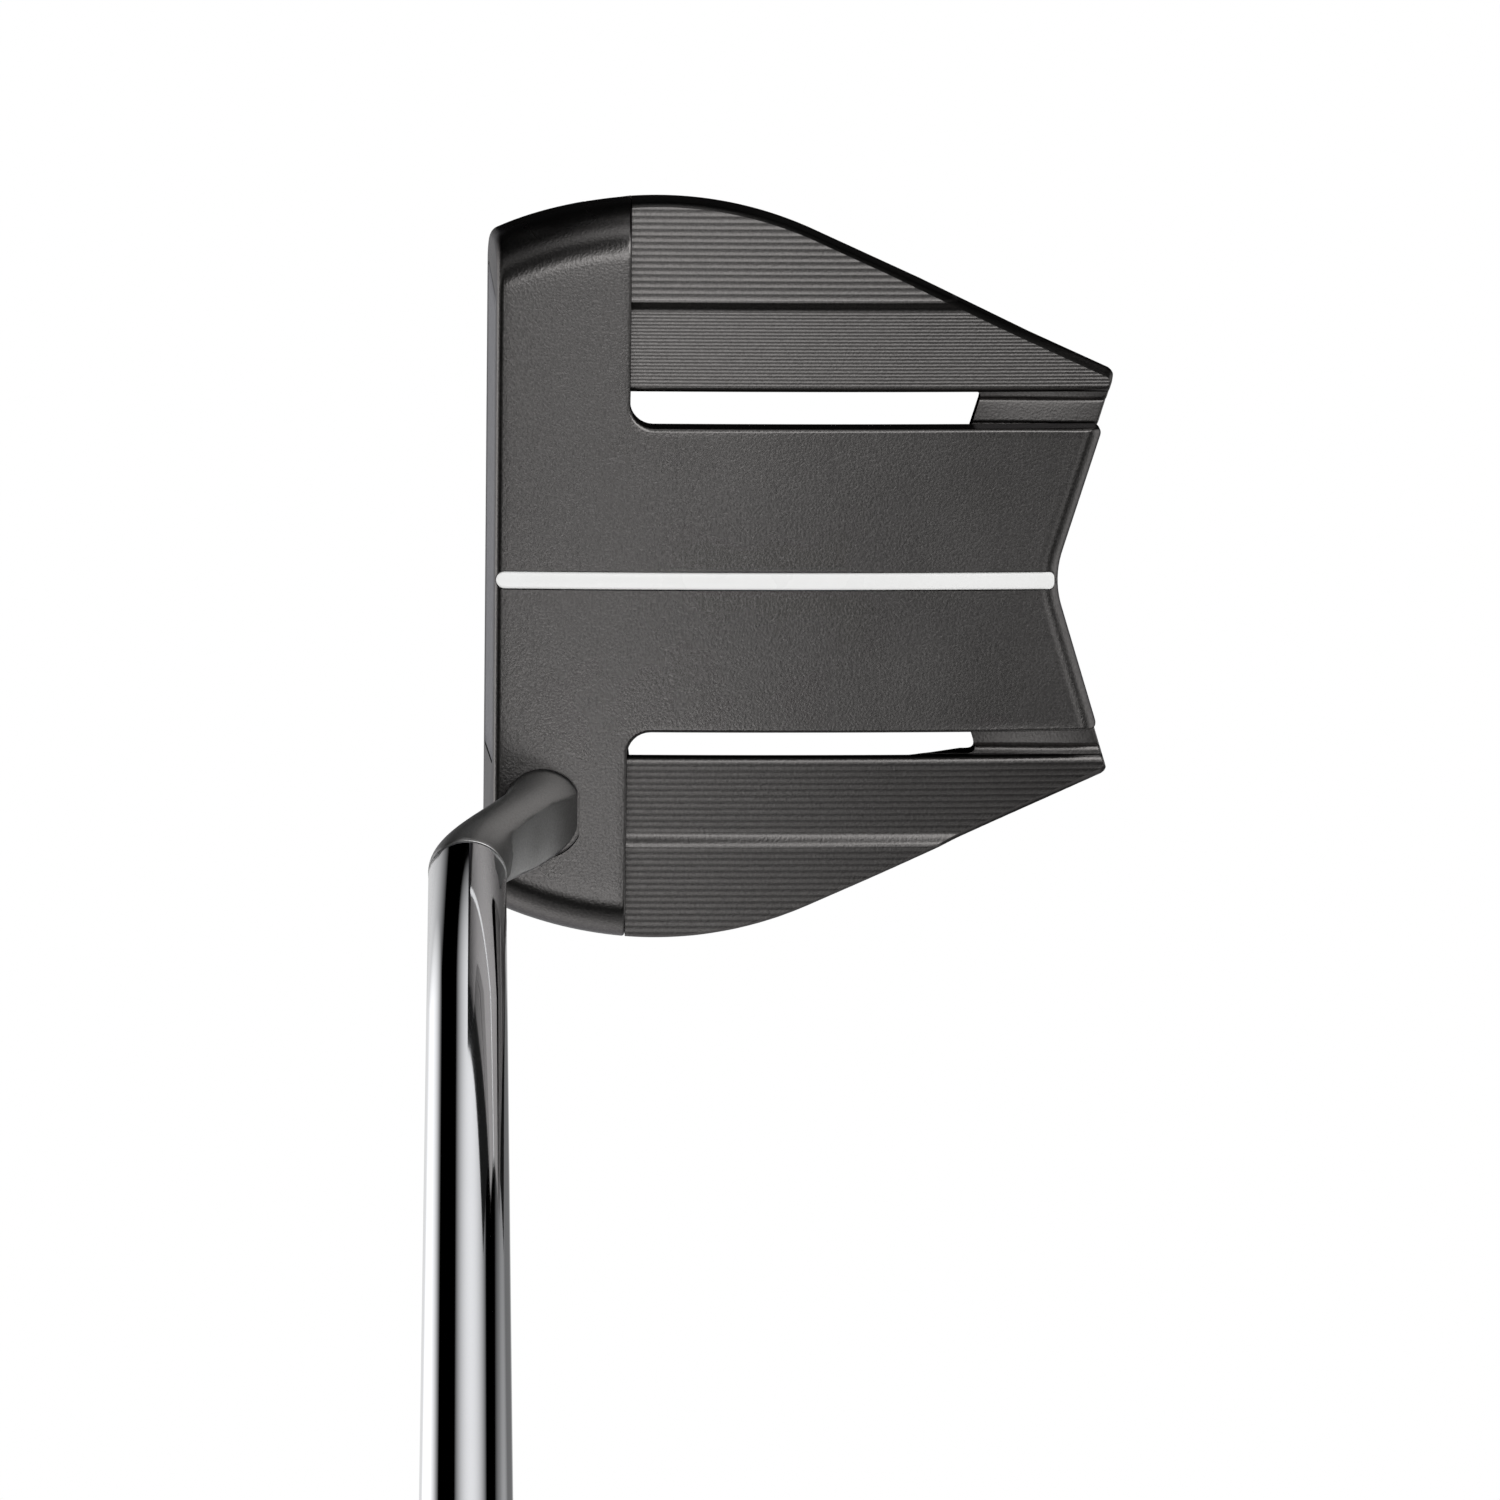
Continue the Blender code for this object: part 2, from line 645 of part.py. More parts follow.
def make_head_screws():
    for number, y in enumerate(crown_screw_ys, 1):
        low, _, top = crown_screw_span(y)
        cap_screw(f"crown_screw_{number}", 0.0, y, low, top, crown_screw_shank,
                  crown_screw_head_radius, crown_screw_head)
    low = screw_low()
    for side, sign in sides:
        cap_screw("bar_screw_" + side, sign * bar_screw_x, bar_screw_y(), low, low + bar_screw_length,
                  bar_screw_shank, bar_screw_head_radius, bar_screw_head)
    cap_screw("neck_bolt", neck_x, neck_y, low, neck_bolt_top(), neck_bolt_shank,
              neck_bolt_head_radius, neck_bolt_head)


def make_face():
    pad_front = insert_thickness + seat_gap
    face_slab("face_insert", 0.0, 0.0, insert_thickness, insert_alloy)
    face_slab("insert_pad", -pad_border, pad_front, pad_front + pad_thickness, grey_pad)


# ---- the neck, shaft and grip ----

def axis_matrix():
    """Frame of the shaft: Z along its axis, from the point where that meets the ground."""
    lean = Matrix.Rotation(math.pi / 2 - lie, 4, "Y")
    return Matrix.Translation((axis_ground_x, axis_y, 0.0)) @ lean


def shoulder_distance():
    return neck_height / math.sin(lie)


def shaft_radius(distance):
    start = shoulder_distance() + seat_gap
    share = (distance - start) / (club_length - shaft_end_gap - start)
    return shaft_tip_radius + (shaft_butt_radius - shaft_tip_radius) * share


def neck_polar(angle, share):
    """Radius of the neck's section: a rounded rectangle that turns into a circle."""
    direction = (abs(math.cos(angle)), abs(math.sin(angle)))
    flat = min((half / part if part > 1e-6 else 1.0)
               for half, part in zip((neck_half_x, neck_half_y), direction))
    inner = (neck_half_x - neck_corner, neck_half_y - neck_corner)
    ahead = inner[0] * direction[0] + inner[1] * direction[1]
    within = neck_corner ** 2 - inner[0] ** 2 - inner[1] ** 2 + ahead ** 2
    in_corner = flat * direction[0] > inner[0] and flat * direction[1] > inner[1]
    base = ahead + math.sqrt(max(within, 0.0)) if in_corner else flat
    return base + (shoulder_radius - base) * share


def ease(share):
    return share * share * (3 - 2 * share)


def make_neck():
    frame = axis_matrix()
    top_centre = frame @ Vector((0.0, 0.0, shoulder_distance()))
    base = Vector((neck_x, neck_y, neck_floor() + seat_gap))
    straight = 5.0 * mm
    steps = 9
    turns = [2 * math.pi * step / ring_steps for step in range(ring_steps)]
    bolt_hole = neck_bolt_shank + thread_gap
    rings = []
    for radius, z in ((bolt_hole, neck_bolt_top() + seat_gap), (bolt_hole, base.z - peg_length),
                      (peg_radius, base.z - peg_length), (peg_radius, base.z)):
        rings.append([(base.x + radius * math.cos(a), base.y + radius * math.sin(a), z) for a in turns])
    end = top_centre - (frame.to_3x3() @ Vector((0.0, 0.0, straight)))
    for step in range(steps + 1):
        share = step / steps
        centre = base.lerp(end, share)
        centre.y = base.y + (end.y - base.y) * ease(share)
        lean = Matrix.Rotation((math.pi / 2 - lie) * share, 3, "Y")
        rings.append([centre + lean @ Vector((neck_polar(a, ease(share)) * math.cos(a),
                                              neck_polar(a, ease(share)) * math.sin(a), 0.0))
                      for a in turns])
    post = shaft_tip_radius - shaft_wall - seat_gap
    distance = shoulder_distance()
    for radius, along in ((shoulder_radius, distance - 0.4 * mm), (shoulder_radius - 0.4 * mm, distance),
                          (post, distance), (post, distance + post_length - post_tip_chamfer),
                          (post - post_tip_chamfer, distance + post_length)):
        rings.append([frame @ Vector((radius * math.cos(a), radius * math.sin(a), along))
                      for a in turns])
    loft("neck", rings, body_pvd)


def tube_rings(outer, inner, low, high, steps_along):
    """Rings up the outside and down the inside of a tube, each radius a function of distance."""
    places = [low + (high - low) * step / steps_along for step in range(steps_along + 1)]
    rings = [(outer(place), place) for place in places]
    return rings + [(inner(place), place) for place in reversed(places)]


def grip_share(distance):
    return (distance - club_length + grip_length) / grip_length


def grip_bore(distance):
    """Radius of the hole in the grip, which the taped shaft fills."""
    return shaft_radius(distance) + tape_thickness + 2 * seat_gap


def grip_ring(distance, inset=0.0):
    """Outside of the grip: round, with a flat along the side that faces away from the player."""
    share = grip_share(distance) ** 1.3
    bore = grip_bore(club_length - grip_length)
    mouth_half = bore + grip_mouth_wall
    mouth_flat = bore + grip_mouth_flat_wall
    radius = mouth_half + (grip_butt_half - mouth_half) * share - inset
    flat = mouth_flat + (grip_butt_flat - mouth_flat) * share - inset
    ring = []
    for step in range(ring_steps):
        angle = 2 * math.pi * step / ring_steps
        side = max(-math.cos(angle), 0.0)
        reach = radius if side < 1e-6 else (radius ** -12 + (flat / side) ** -12) ** (-1 / 12)
        ring.append((reach * math.cos(angle), reach * math.sin(angle), distance))
    return ring


def circle_ring(radius, distance):
    turns = [2 * math.pi * step / ring_steps for step in range(ring_steps)]
    return [(radius * math.cos(a), radius * math.sin(a), distance) for a in turns]


def make_shaft_and_grip():
    holder = bpy.data.objects.new("shaft_axis", None)
    bpy.context.scene.collection.objects.link(holder)
    holder.matrix_world = axis_matrix()
    tip = shoulder_distance() + seat_gap
    butt = club_length - shaft_end_gap
    section = tube_rings(shaft_radius, lambda place: shaft_radius(place) - shaft_wall, tip, butt, 6)
    pieces = [ring_solid("shaft", section, bright_chrome, ring_steps)]

    mouth = club_length - grip_length
    tape_low = mouth + 3 * mm
    tape_high = butt - 2 * mm
    section = tube_rings(lambda place: shaft_radius(place) + seat_gap + tape_thickness,
                         lambda place: shaft_radius(place) + seat_gap, tape_low, tape_high, 2)
    pieces.append(ring_solid("grip_tape", section, paper_tape, ring_steps))

    grip_top = club_length - cap_flange - seat_gap
    places = [mouth + (grip_top - mouth) * step / 10 for step in range(11)]
    rings = [grip_ring(mouth, grip_mouth_round), grip_ring(mouth + grip_mouth_round)]
    rings += [grip_ring(place) for place in places[1:]]
    rings += [circle_ring(grip_bore(grip_top), grip_top), circle_ring(grip_bore(mouth), mouth)]
    pieces.append(loft("grip", rings, black_rubber, ends_meet=True))

    plug = shaft_butt_radius - shaft_wall - seat_gap
    plug_low = club_length - cap_flange - cap_plug_length
    edge = 0.8 * mm
    rings = [circle_ring(cap_vent_radius, plug_low), circle_ring(plug - 0.5 * mm, plug_low),
             circle_ring(plug, plug_low + 0.5 * mm), circle_ring(plug, club_length - cap_flange),
             grip_ring(club_length - cap_flange), grip_ring(club_length - edge),
             grip_ring(club_length, edge), circle_ring(cap_vent_radius, club_length)]
    pieces.append(loft("grip_end_cap", rings, black_rubber, ends_meet=True))
    for piece in pieces:
        piece.parent = holder


def main():
    clear_scene()
    make_striking_block()
    make_wing_frame()
    make_face()
    line_solid("alignment_line", 0.0, line_thickness, 0.0, white_enamel)
    make_sole()
    make_weights()
    make_head_screws()
    make_neck()
    make_shaft_and_grip()
    origin = bpy.data.objects.new("club_origin", None)
    bpy.context.scene.collection.objects.link(origin)
    origin.location = (0.0, -(sole_front_y + sole_back_y) / 2, 0.0)
    for piece in list(bpy.data.objects):
        if piece.parent is None and piece != origin:
            piece.parent = origin


main()
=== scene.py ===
import math

import bmesh
import bpy
import numpy as np
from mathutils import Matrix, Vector


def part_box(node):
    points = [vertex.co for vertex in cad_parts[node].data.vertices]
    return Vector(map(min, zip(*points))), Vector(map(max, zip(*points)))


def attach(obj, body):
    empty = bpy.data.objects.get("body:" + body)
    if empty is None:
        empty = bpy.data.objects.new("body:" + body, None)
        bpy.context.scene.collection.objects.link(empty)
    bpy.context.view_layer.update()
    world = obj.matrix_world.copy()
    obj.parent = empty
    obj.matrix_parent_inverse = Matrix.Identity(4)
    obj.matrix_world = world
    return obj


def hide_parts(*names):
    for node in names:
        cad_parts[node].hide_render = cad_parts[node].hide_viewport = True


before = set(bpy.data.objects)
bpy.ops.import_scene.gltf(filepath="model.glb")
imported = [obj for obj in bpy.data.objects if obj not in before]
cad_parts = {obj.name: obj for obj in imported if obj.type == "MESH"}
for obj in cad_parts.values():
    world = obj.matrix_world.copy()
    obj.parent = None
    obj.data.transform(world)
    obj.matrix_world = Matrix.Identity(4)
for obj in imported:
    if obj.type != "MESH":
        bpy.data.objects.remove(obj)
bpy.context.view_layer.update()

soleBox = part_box("sole_plate")
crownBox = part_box("striking_block")
stage = bpy.context.scene
pi = math.pi

# Shapes are worked out in millimetres, with y measured back from the face's top edge.
# toWorld turns them into metres in the frame's own place.
head = {
    "archRadius": 530.0,     # the crown's arch from front to back
    "archY": 14.0,
    "sideRadius": 49.0,      # outline, seen from above
    "sideCentreX": -0.8,
    "sideCentreY": 21.0,
    "flankAngle": math.radians(24.2),
    "notchAngle": math.radians(17.3),
    "notchY": 72.3,
    "notchRadius": 12.0,
    "loft": math.radians(3.0),
    "bottom": 1.2,
    "bellyInset": 4.5,
    "bellyHeight": 9.0,
    "soleFront": 13.5,
}
faceShift = soleBox[0].y * 1000 - head["soleFront"]
headTop = crownBox[1].z * 1000


# shapes that several pieces share
def arch(y):
    # height of the crown: a circle seen from the side, as a parabola
    return headTop - (y - head["archY"]) ** 2 / (2 * head["archRadius"])


def outlineX(y):
    # half width of the head at each y: a circle's arc, then the straight flank
    reach, turn = head["sideRadius"], head["flankAngle"]
    arcEnd = head["sideCentreY"] + reach * math.sin(turn)
    ahead = np.minimum(y, arcEnd) - head["sideCentreY"]
    onArc = np.sqrt(np.maximum(reach ** 2 - ahead ** 2, 0.0))
    return head["sideCentreX"] + onArc - np.maximum(y - arcEnd, 0.0) * math.tan(turn)


def notchEdge(x, inset=0.0):
    # y of the back edge at each x: two straight edges with a round between them
    rise = math.tan(head["notchAngle"])
    radius = head["notchRadius"] + inset
    reach = radius * math.sin(head["notchAngle"])
    bottom = head["notchY"] - inset / math.cos(head["notchAngle"]) + radius / math.cos(head["notchAngle"])
    side = np.abs(x)
    rounded = bottom - np.sqrt(np.maximum(radius ** 2 - side ** 2, 0.0))
    straight = head["notchY"] - inset / math.cos(head["notchAngle"]) + rise * side
    return np.where(side < reach, rounded, straight)


def smooth(low, high, value):
    # a soft step from 0 to 1, level at both its ends
    share = np.clip((value - low) / (high - low), 0.0, 1.0)
    return share * share * (3 - 2 * share)


def toWorld(x, y, z):
    # millimetres behind the face's top edge to metres in the frame
    x, y, z = np.broadcast_arrays(x, y, z)
    return np.stack([x, y + faceShift, z], -1) * 0.001


def gridPatch(points, closeRows=False, closeColumns=False):
    # a sheet of quads over an array of rows and columns of points
    rows, columns = points.shape[:2]
    index = np.arange(rows * columns).reshape(rows, columns)
    if closeRows:
        index = np.concatenate([index, index[:1]])
    if closeColumns:
        index = np.concatenate([index, index[:, :1]], 1)
    quads = np.stack([index[:-1, :-1], index[:-1, 1:], index[1:, 1:], index[1:, :-1]], -1)
    return points.reshape(-1, 3), quads.reshape(-1, 4)


def buildPiece(name, patches, caps=(), extra=(), merge=2e-6, sharpAngle=30.0):
    # joins patches that share their edges into one closed mesh with its faces outwards;
    # extra faces are lists of places in the first patch
    mesh = bpy.data.meshes.new(name)
    points = np.concatenate([patch[0] for patch in patches] + list(caps))
    faces = list(extra)
    start = 0
    for patchPoints, quads in patches:
        faces += (quads + start).tolist()
        start += len(patchPoints)
    for cap in caps:
        faces.append(list(range(start, start + len(cap))))
        start += len(cap)
    mesh.from_pydata(points, [], faces)
    work = bmesh.new()
    work.from_mesh(mesh)
    bmesh.ops.remove_doubles(work, verts=work.verts, dist=merge)
    bmesh.ops.dissolve_degenerate(work, edges=work.edges, dist=1e-7)
    bmesh.ops.recalc_face_normals(work, faces=work.faces)
    work.to_mesh(mesh)
    work.free()
    piece = bpy.data.objects.new(name, mesh)
    stage.collection.objects.link(piece)
    mesh.shade_smooth()
    mesh.set_sharp_from_angle(angle=math.radians(sharpAngle))
    return piece


def loftPiece(name, rings, closeRows=False, **settings):
    # a closed skin over rings of points, capped at its two ends
    caps = () if closeRows else (rings[0], rings[-1])
    return buildPiece(name, [gridPatch(rings, closeRows, True)], caps, **settings)


def applyModifiers(piece):
    # the evaluated mesh takes the place of the mesh and its modifiers
    graph = bpy.context.evaluated_depsgraph_get()
    mesh = bpy.data.meshes.new_from_object(piece.evaluated_get(graph))
    piece.modifiers.clear()
    piece.data = mesh


def carve(piece, cutters, operation="DIFFERENCE", sharpAngle=30.0):
    # cuts shapes from a piece, or joins them to it, and then drops them
    for cutter in cutters:
        modifier = piece.modifiers.new(cutter.name, "BOOLEAN")
        modifier.object = cutter
        modifier.operation = operation
        modifier.solver = "EXACT"
        bpy.context.view_layer.update()
        applyModifiers(piece)
        bpy.data.objects.remove(cutter)
    piece.data.shade_smooth()
    piece.data.set_sharp_from_angle(angle=math.radians(sharpAngle))


def roundedLoop(left, right, front, back, radius, steps=10):
    # (x, y) points of a rectangle with round corners
    turns = np.linspace(0, pi / 2, steps + 1)
    corners = ((right - radius, back - radius), (left + radius, back - radius),
               (left + radius, front + radius), (right - radius, front + radius))
    points = []
    for quarter, (x, y) in enumerate(corners):
        turn = turns + quarter * pi / 2
        points.append(np.stack([x + radius * np.cos(turn), y + radius * np.sin(turn)], -1))
    return np.concatenate(points)


def prismPiece(name, loop, low, high):
    # an upright block over a loop of (x, y) points
    rings = np.stack([toWorld(loop[:, 0], loop[:, 1], low), toWorld(loop[:, 0], loop[:, 1], high)])
    return loftPiece(name, rings)


def discLoop(x, y, radius, steps=48):
    # (x, y) points of a circle
    turns = np.arange(steps) * 2 * pi / steps
    return np.stack([x + radius * np.cos(turns), y + radius * np.sin(turns)], -1)


# milling lines, which the wings' shape follows and the material repeats as lines of painted shade; a little
# deeper than real
milling = {"pitch": 0.83, "finePitch": 0.44, "cusp": 0.05, "creaseX": 35.6, "creaseWidth": 1.5,
           "smoothBand": 0.2}


def linearColour(hexCode):
    # sRGB hex to linear values
    parts = [int(hexCode[place:place + 2], 16) / 255 for place in (1, 3, 5)]
    return [part / 12.92 if part <= 0.04045 else ((part + 0.055) / 1.055) ** 2.4 for part in parts] + [1.0]


def addNode(tree, kind, inputs=None, **settings):
    # one node with its settings; an input is a value, or a link when it is a socket
    node = tree.nodes.new(kind)
    for name, value in settings.items():
        setattr(node, name, value)
    for place, value in (inputs or {}).items():
        if isinstance(value, bpy.types.NodeSocket):
            tree.links.new(value, node.inputs[place])
        else:
            node.inputs[place].default_value = value
    return node


def newMaterial(name, colour, roughness, metallic=0.0, **extra):
    # a Principled surface with its steady values on its own sockets
    material = bpy.data.materials.new(name)
    material.use_nodes = True
    tree = material.node_tree
    shader = tree.nodes["Principled BSDF"]
    shader.inputs["Base Color"].default_value = linearColour(colour)
    shader.inputs["Roughness"].default_value = roughness
    shader.inputs["Metallic"].default_value = metallic
    for socket, value in extra.items():
        shader.inputs[socket.replace("_", " ")].default_value = value
    return material, tree, shader


def mottle(tree, shader, colour, slowSpread, grainSpread, roughness, scale, bump=0.0, grain=3000.0):
    # slow changes of tone and gloss from one noise, and a fine grain of tone and relief from another
    place = addNode(tree, "ShaderNodeTexCoord").outputs["Object"]
    slow = addNode(tree, "ShaderNodeTexNoise", {"Vector": place, "Scale": scale, "Detail": 3.0})
    fine = addNode(tree, "ShaderNodeTexNoise", {"Vector": place, "Scale": grain, "Detail": 2.0})
    tones = []
    for noise, spread in ((slow, slowSpread), (fine, grainSpread)):
        tones.append(addNode(tree, "ShaderNodeMapRange", {
            "Value": noise.outputs["Fac"], "From Min": 0.3, "From Max": 0.7,
            "To Min": 1 - spread, "To Max": 1 + spread}).outputs["Result"])
    tone = addNode(tree, "ShaderNodeMath", {0: tones[0], 1: tones[1]}, operation="MULTIPLY").outputs[0]
    tinted = addNode(tree, "ShaderNodeVectorMath", {0: linearColour(colour)[:3], "Scale": tone},
                     operation="SCALE")
    tree.links.new(tinted.outputs["Vector"], shader.inputs["Base Color"])
    gloss = addNode(tree, "ShaderNodeMapRange", {
        "Value": slow.outputs["Fac"], "From Min": 0.3, "From Max": 0.7,
        "To Min": roughness * 0.94, "To Max": roughness * 1.06})
    tree.links.new(gloss.outputs["Result"], shader.inputs["Roughness"])
    if bump:
        relief = addNode(tree, "ShaderNodeBump", {"Strength": bump, "Distance": 0.0001,
                                                  "Height": fine.outputs["Fac"]})
        tree.links.new(relief.outputs["Normal"], shader.inputs["Normal"])
    return place, tinted


def mottled(name, colour, roughness, metallic, slowSpread, grainSpread, scale, bump=0.0, grain=3000.0,
            **extra):
    # a whole material from one colour and one gloss, both mottled
    material, tree, shader = newMaterial(name, colour, roughness, metallic, **extra)
    mottle(tree, shader, colour, slowSpread, grainSpread, roughness, scale, bump, grain)
    return material


darkEdge = (0.32, 0.32, 0.33, 1.0)     # a dark coat stays dark even at a glancing angle


def blastedPvd():
    # dark PVD coat on bead-blasted alloy: a satin grey with a fine, even sparkle.
    # The blasted grain is some 0.1 mm; it is drawn at about 0.3 mm so that it shows
    return mottled("blastedDarkPvd", "#72706f", 0.28, 1.0, 0.015, 0.16, 60.0, bump=0.35,
                  Specular_Tint=darkEdge)


def satinNeckPvd():
    # the same dark coat over a finely blasted steel neck: a closer, smoother satin
    return mottled("satinDarkPvd", "#c4c4c3", 0.36, 1.0, 0.02, 0.10, 120.0, bump=0.25, grain=3600.0,
                  Specular_Tint=darkEdge)


def milledPvd():
    # the same coat over ball-milled metal: each ridge between two passes gets a darker line of painted
    # shade, standing in for how the ridges catch the light
    material, tree, shader = newMaterial("milledDarkPvd", "#6b6968", 0.30, 1.0, Specular_Tint=darkEdge)
    place, tinted = mottle(tree, shader, "#6b6968", 0.02, 0.13, 0.30, 80.0, bump=0.25, grain=3000.0)
    across = addNode(tree, "ShaderNodeSeparateXYZ", {"Vector": place}).outputs["X"]
    side = addNode(tree, "ShaderNodeMath", {0: across}, operation="ABSOLUTE").outputs[0]
    # painted shade: at each ridge the colour drops to half, standing in for the ridges' shading
    lines = []
    for pitch in (milling["pitch"], milling["finePitch"]):
        share = addNode(tree, "ShaderNodeMath", {0: side, 1: pitch * 0.001}, operation="DIVIDE").outputs[0]
        share = addNode(tree, "ShaderNodeMath", {0: share}, operation="FRACT").outputs[0]
        share = addNode(tree, "ShaderNodeMath", {0: share, 1: 0.5}, operation="SUBTRACT").outputs[0]
        share = addNode(tree, "ShaderNodeMath", {0: share}, operation="ABSOLUTE").outputs[0]
        lines.append(addNode(tree, "ShaderNodeMapRange", {
            "Value": share, "From Min": 0.30, "From Max": 0.5,
            "To Min": 1.0, "To Max": 0.5}).outputs["Result"])
    # masks: the toe half, inside the crease, outside it, on the wings, facing up
    valley = (milling["creaseX"] - milling["creaseWidth"] - milling["smoothBand"]) * 0.001
    normal = addNode(tree, "ShaderNodeNewGeometry").outputs["Normal"]
    up = addNode(tree, "ShaderNodeSeparateXYZ", {"Vector": normal}).outputs["Z"]
    toe, inner, outer, onWing, flat = [
        addNode(tree, "ShaderNodeMath", {0: value, 1: limit}, operation=test).outputs[0]
        for value, limit, test in ((across, 0.0, "LESS_THAN"), (side, valley, "LESS_THAN"),
                                   (side, milling["creaseX"] * 0.001, "GREATER_THAN"),
                                   (side, 0.0245, "GREATER_THAN"), (up, 0.75, "GREATER_THAN"))]
    # fine lines on the toe's inner half only
    fine = addNode(tree, "ShaderNodeMath", {0: toe, 1: inner}, operation="MULTIPLY").outputs[0]
    tone = addNode(tree, "ShaderNodeMix", {0: fine, 2: lines[0], 3: lines[1]}).outputs[0]
    # no lines on the web between the slots, in the crease or on the walls
    milled = addNode(tree, "ShaderNodeMath", {0: inner, 1: outer}, operation="MAXIMUM").outputs[0]
    for mask in (flat, onWing):
        milled = addNode(tree, "ShaderNodeMath", {0: milled, 1: mask}, operation="MULTIPLY").outputs[0]
    tone = addNode(tree, "ShaderNodeMix", {0: milled, 2: 1.0, 3: tone}).outputs[0]
    # painted highlight: a thin line along the crease's crest is made 1.7 times brighter, where its rounded
    # edge catches the light
    crest = addNode(tree, "ShaderNodeMath", {0: side, 1: (milling["creaseX"] + 0.1) * 0.001, 2: 0.00015},
                    operation="COMPARE").outputs[0]
    tone = addNode(tree, "ShaderNodeMix", {0: crest, 2: tone, 3: 1.7}).outputs[0]
    lined = addNode(tree, "ShaderNodeVectorMath", {0: tinted.outputs["Vector"], "Scale": tone},
                    operation="SCALE")
    tree.links.new(lined.outputs["Vector"], shader.inputs["Base Color"])
    return material


def polishedChrome():
    # chromed steel tube, ground and polished: a clean mirror with the faintest haze
    return mottled("polishedChrome", "#e4e5e8", 0.045, 1.0, 0.006, 0.006, 60.0)


def milledAluminium():
    # face insert of milled aluminium, dark anodised: a satin grey between its grooves
    return mottled("milledDarkAluminium", "#7f7f81", 0.34, 1.0, 0.03, 0.08, 150.0, bump=0.15,
                  Specular_Tint=darkEdge)


def whiteEnamel():
    # white enamel filled into a groove: smooth, with a soft gloss
    return mottled("whiteEnamel", "#efefee", 0.28, 0.0, 0.01, 0.006, 200.0, bump=0.05, grain=900.0,
                  Coat_Weight=0.2, Coat_Roughness=0.1)


def blackScrew():
    # black oxide on alloy steel screws: deep grey, mottled
    return mottled("blackOxideSteel", "#3a3a39", 0.38, 1.0, 0.08, 0.12, 400.0, bump=0.1, grain=5000.0)


def turnedTungsten():
    # turned tungsten weights: grey metal with a satin face
    return mottled("turnedTungsten", "#a3a3a6", 0.30, 1.0, 0.04, 0.06, 260.0, bump=0.1, grain=3500.0)


def brushedSole():
    # dark coated steel plate, brushed from toe to heel
    material, tree, shader = newMaterial("brushedDarkSteel", "#5d5c5a", 0.33, 1.0)
    place = addNode(tree, "ShaderNodeTexCoord").outputs["Object"]
    stretch = addNode(tree, "ShaderNodeMapping", {"Vector": place, "Scale": (60.0, 4500.0, 60.0)})
    lines = addNode(tree, "ShaderNodeTexNoise", {"Vector": stretch.outputs["Vector"], "Scale": 1.0,
                                                 "Detail": 2.0})
    ramp = addNode(tree, "ShaderNodeValToRGB", {"Fac": lines.outputs["Fac"]})
    for element, position, tone in zip(ramp.color_ramp.elements, (0.35, 0.65), ("#545351", "#676664")):
        element.position = position
        element.color = linearColour(tone)
    tree.links.new(ramp.outputs["Color"], shader.inputs["Base Color"])
    relief = addNode(tree, "ShaderNodeBump", {"Strength": 0.2, "Distance": 0.00005,
                                              "Height": lines.outputs["Fac"]})
    tree.links.new(relief.outputs["Normal"], shader.inputs["Normal"])
    return material


def gripRubber():
    # moulded natural rubber: matt black with a fine cast grain
    return mottled("mouldedRubber", "#1f1f20", 0.72, 0.0, 0.08, 0.14, 70.0, bump=0.5, grain=2200.0)


def softRubber():
    # seals and pads of soft rubber: dull dark grey
    return mottled("softRubber", "#262627", 0.8, 0.0, 0.06, 0.1, 150.0, bump=0.3, grain=2600.0)


def paperTape():
    # crepe paper tape: straw coloured, dull, with a close wrinkle
    return mottled("crepePaperTape", "#c9b992", 0.85, 0.0, 0.05, 0.08, 300.0, bump=0.6, grain=1500.0)


looks = {
    "crown": blastedPvd(), "wings": milledPvd(), "neck": satinNeckPvd(), "chrome": polishedChrome(),
    "insert": milledAluminium(), "line": whiteEnamel(), "screw": blackScrew(), "weight": turnedTungsten(),
    "sole": brushedSole(), "grip": gripRubber(), "seal": softRubber(), "tape": paperTape(),
}
print("materials made")


def giveLook(thing, look):
    # one material over the whole piece
    thing.data.materials.clear()
    thing.data.materials.append(looks[look])


def place(piece, look, slotName, *nodes):
    # a finished piece's material, its body and the nodes that it stands for; slotName is not used
    giveLook(piece, look)
    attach(piece, "root")
    if nodes:
        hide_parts(*nodes)
    return piece


# crown: the bar behind the face, and the plate behind it

crown = {
    "barDepth": 17.2, "plateHalf": 19.8, "plateThickness": 5.5, "plateCorner": 3.0,
    "frontRound": 0.9, "backRound": 0.4, "plateRound": 0.5,
    "endWidth": 6.5, "endHeight": 9.6,           # rounding over the bar's two ends
    "notchRollWide": 3.0, "notchRollDeep": 2.3,  # the plate rolls off at the notch
    "tipRound": 0.9, "footRound": 0.3,
    "loftFade": 2.0,         # behind the face the bar's sections turn upright
    "plateLift": 0.004,      # a hair above the bar, so that the two skins don't lie in one another
    "shelf": {"front": 11.2, "back": 18.4, "top": 8.3},
    "boltHole": {"radius": 3.5, "top": 4.9},
    "lineEnd": {"y": 72.5, "radius": 0.42, "depth": 4.8},
}


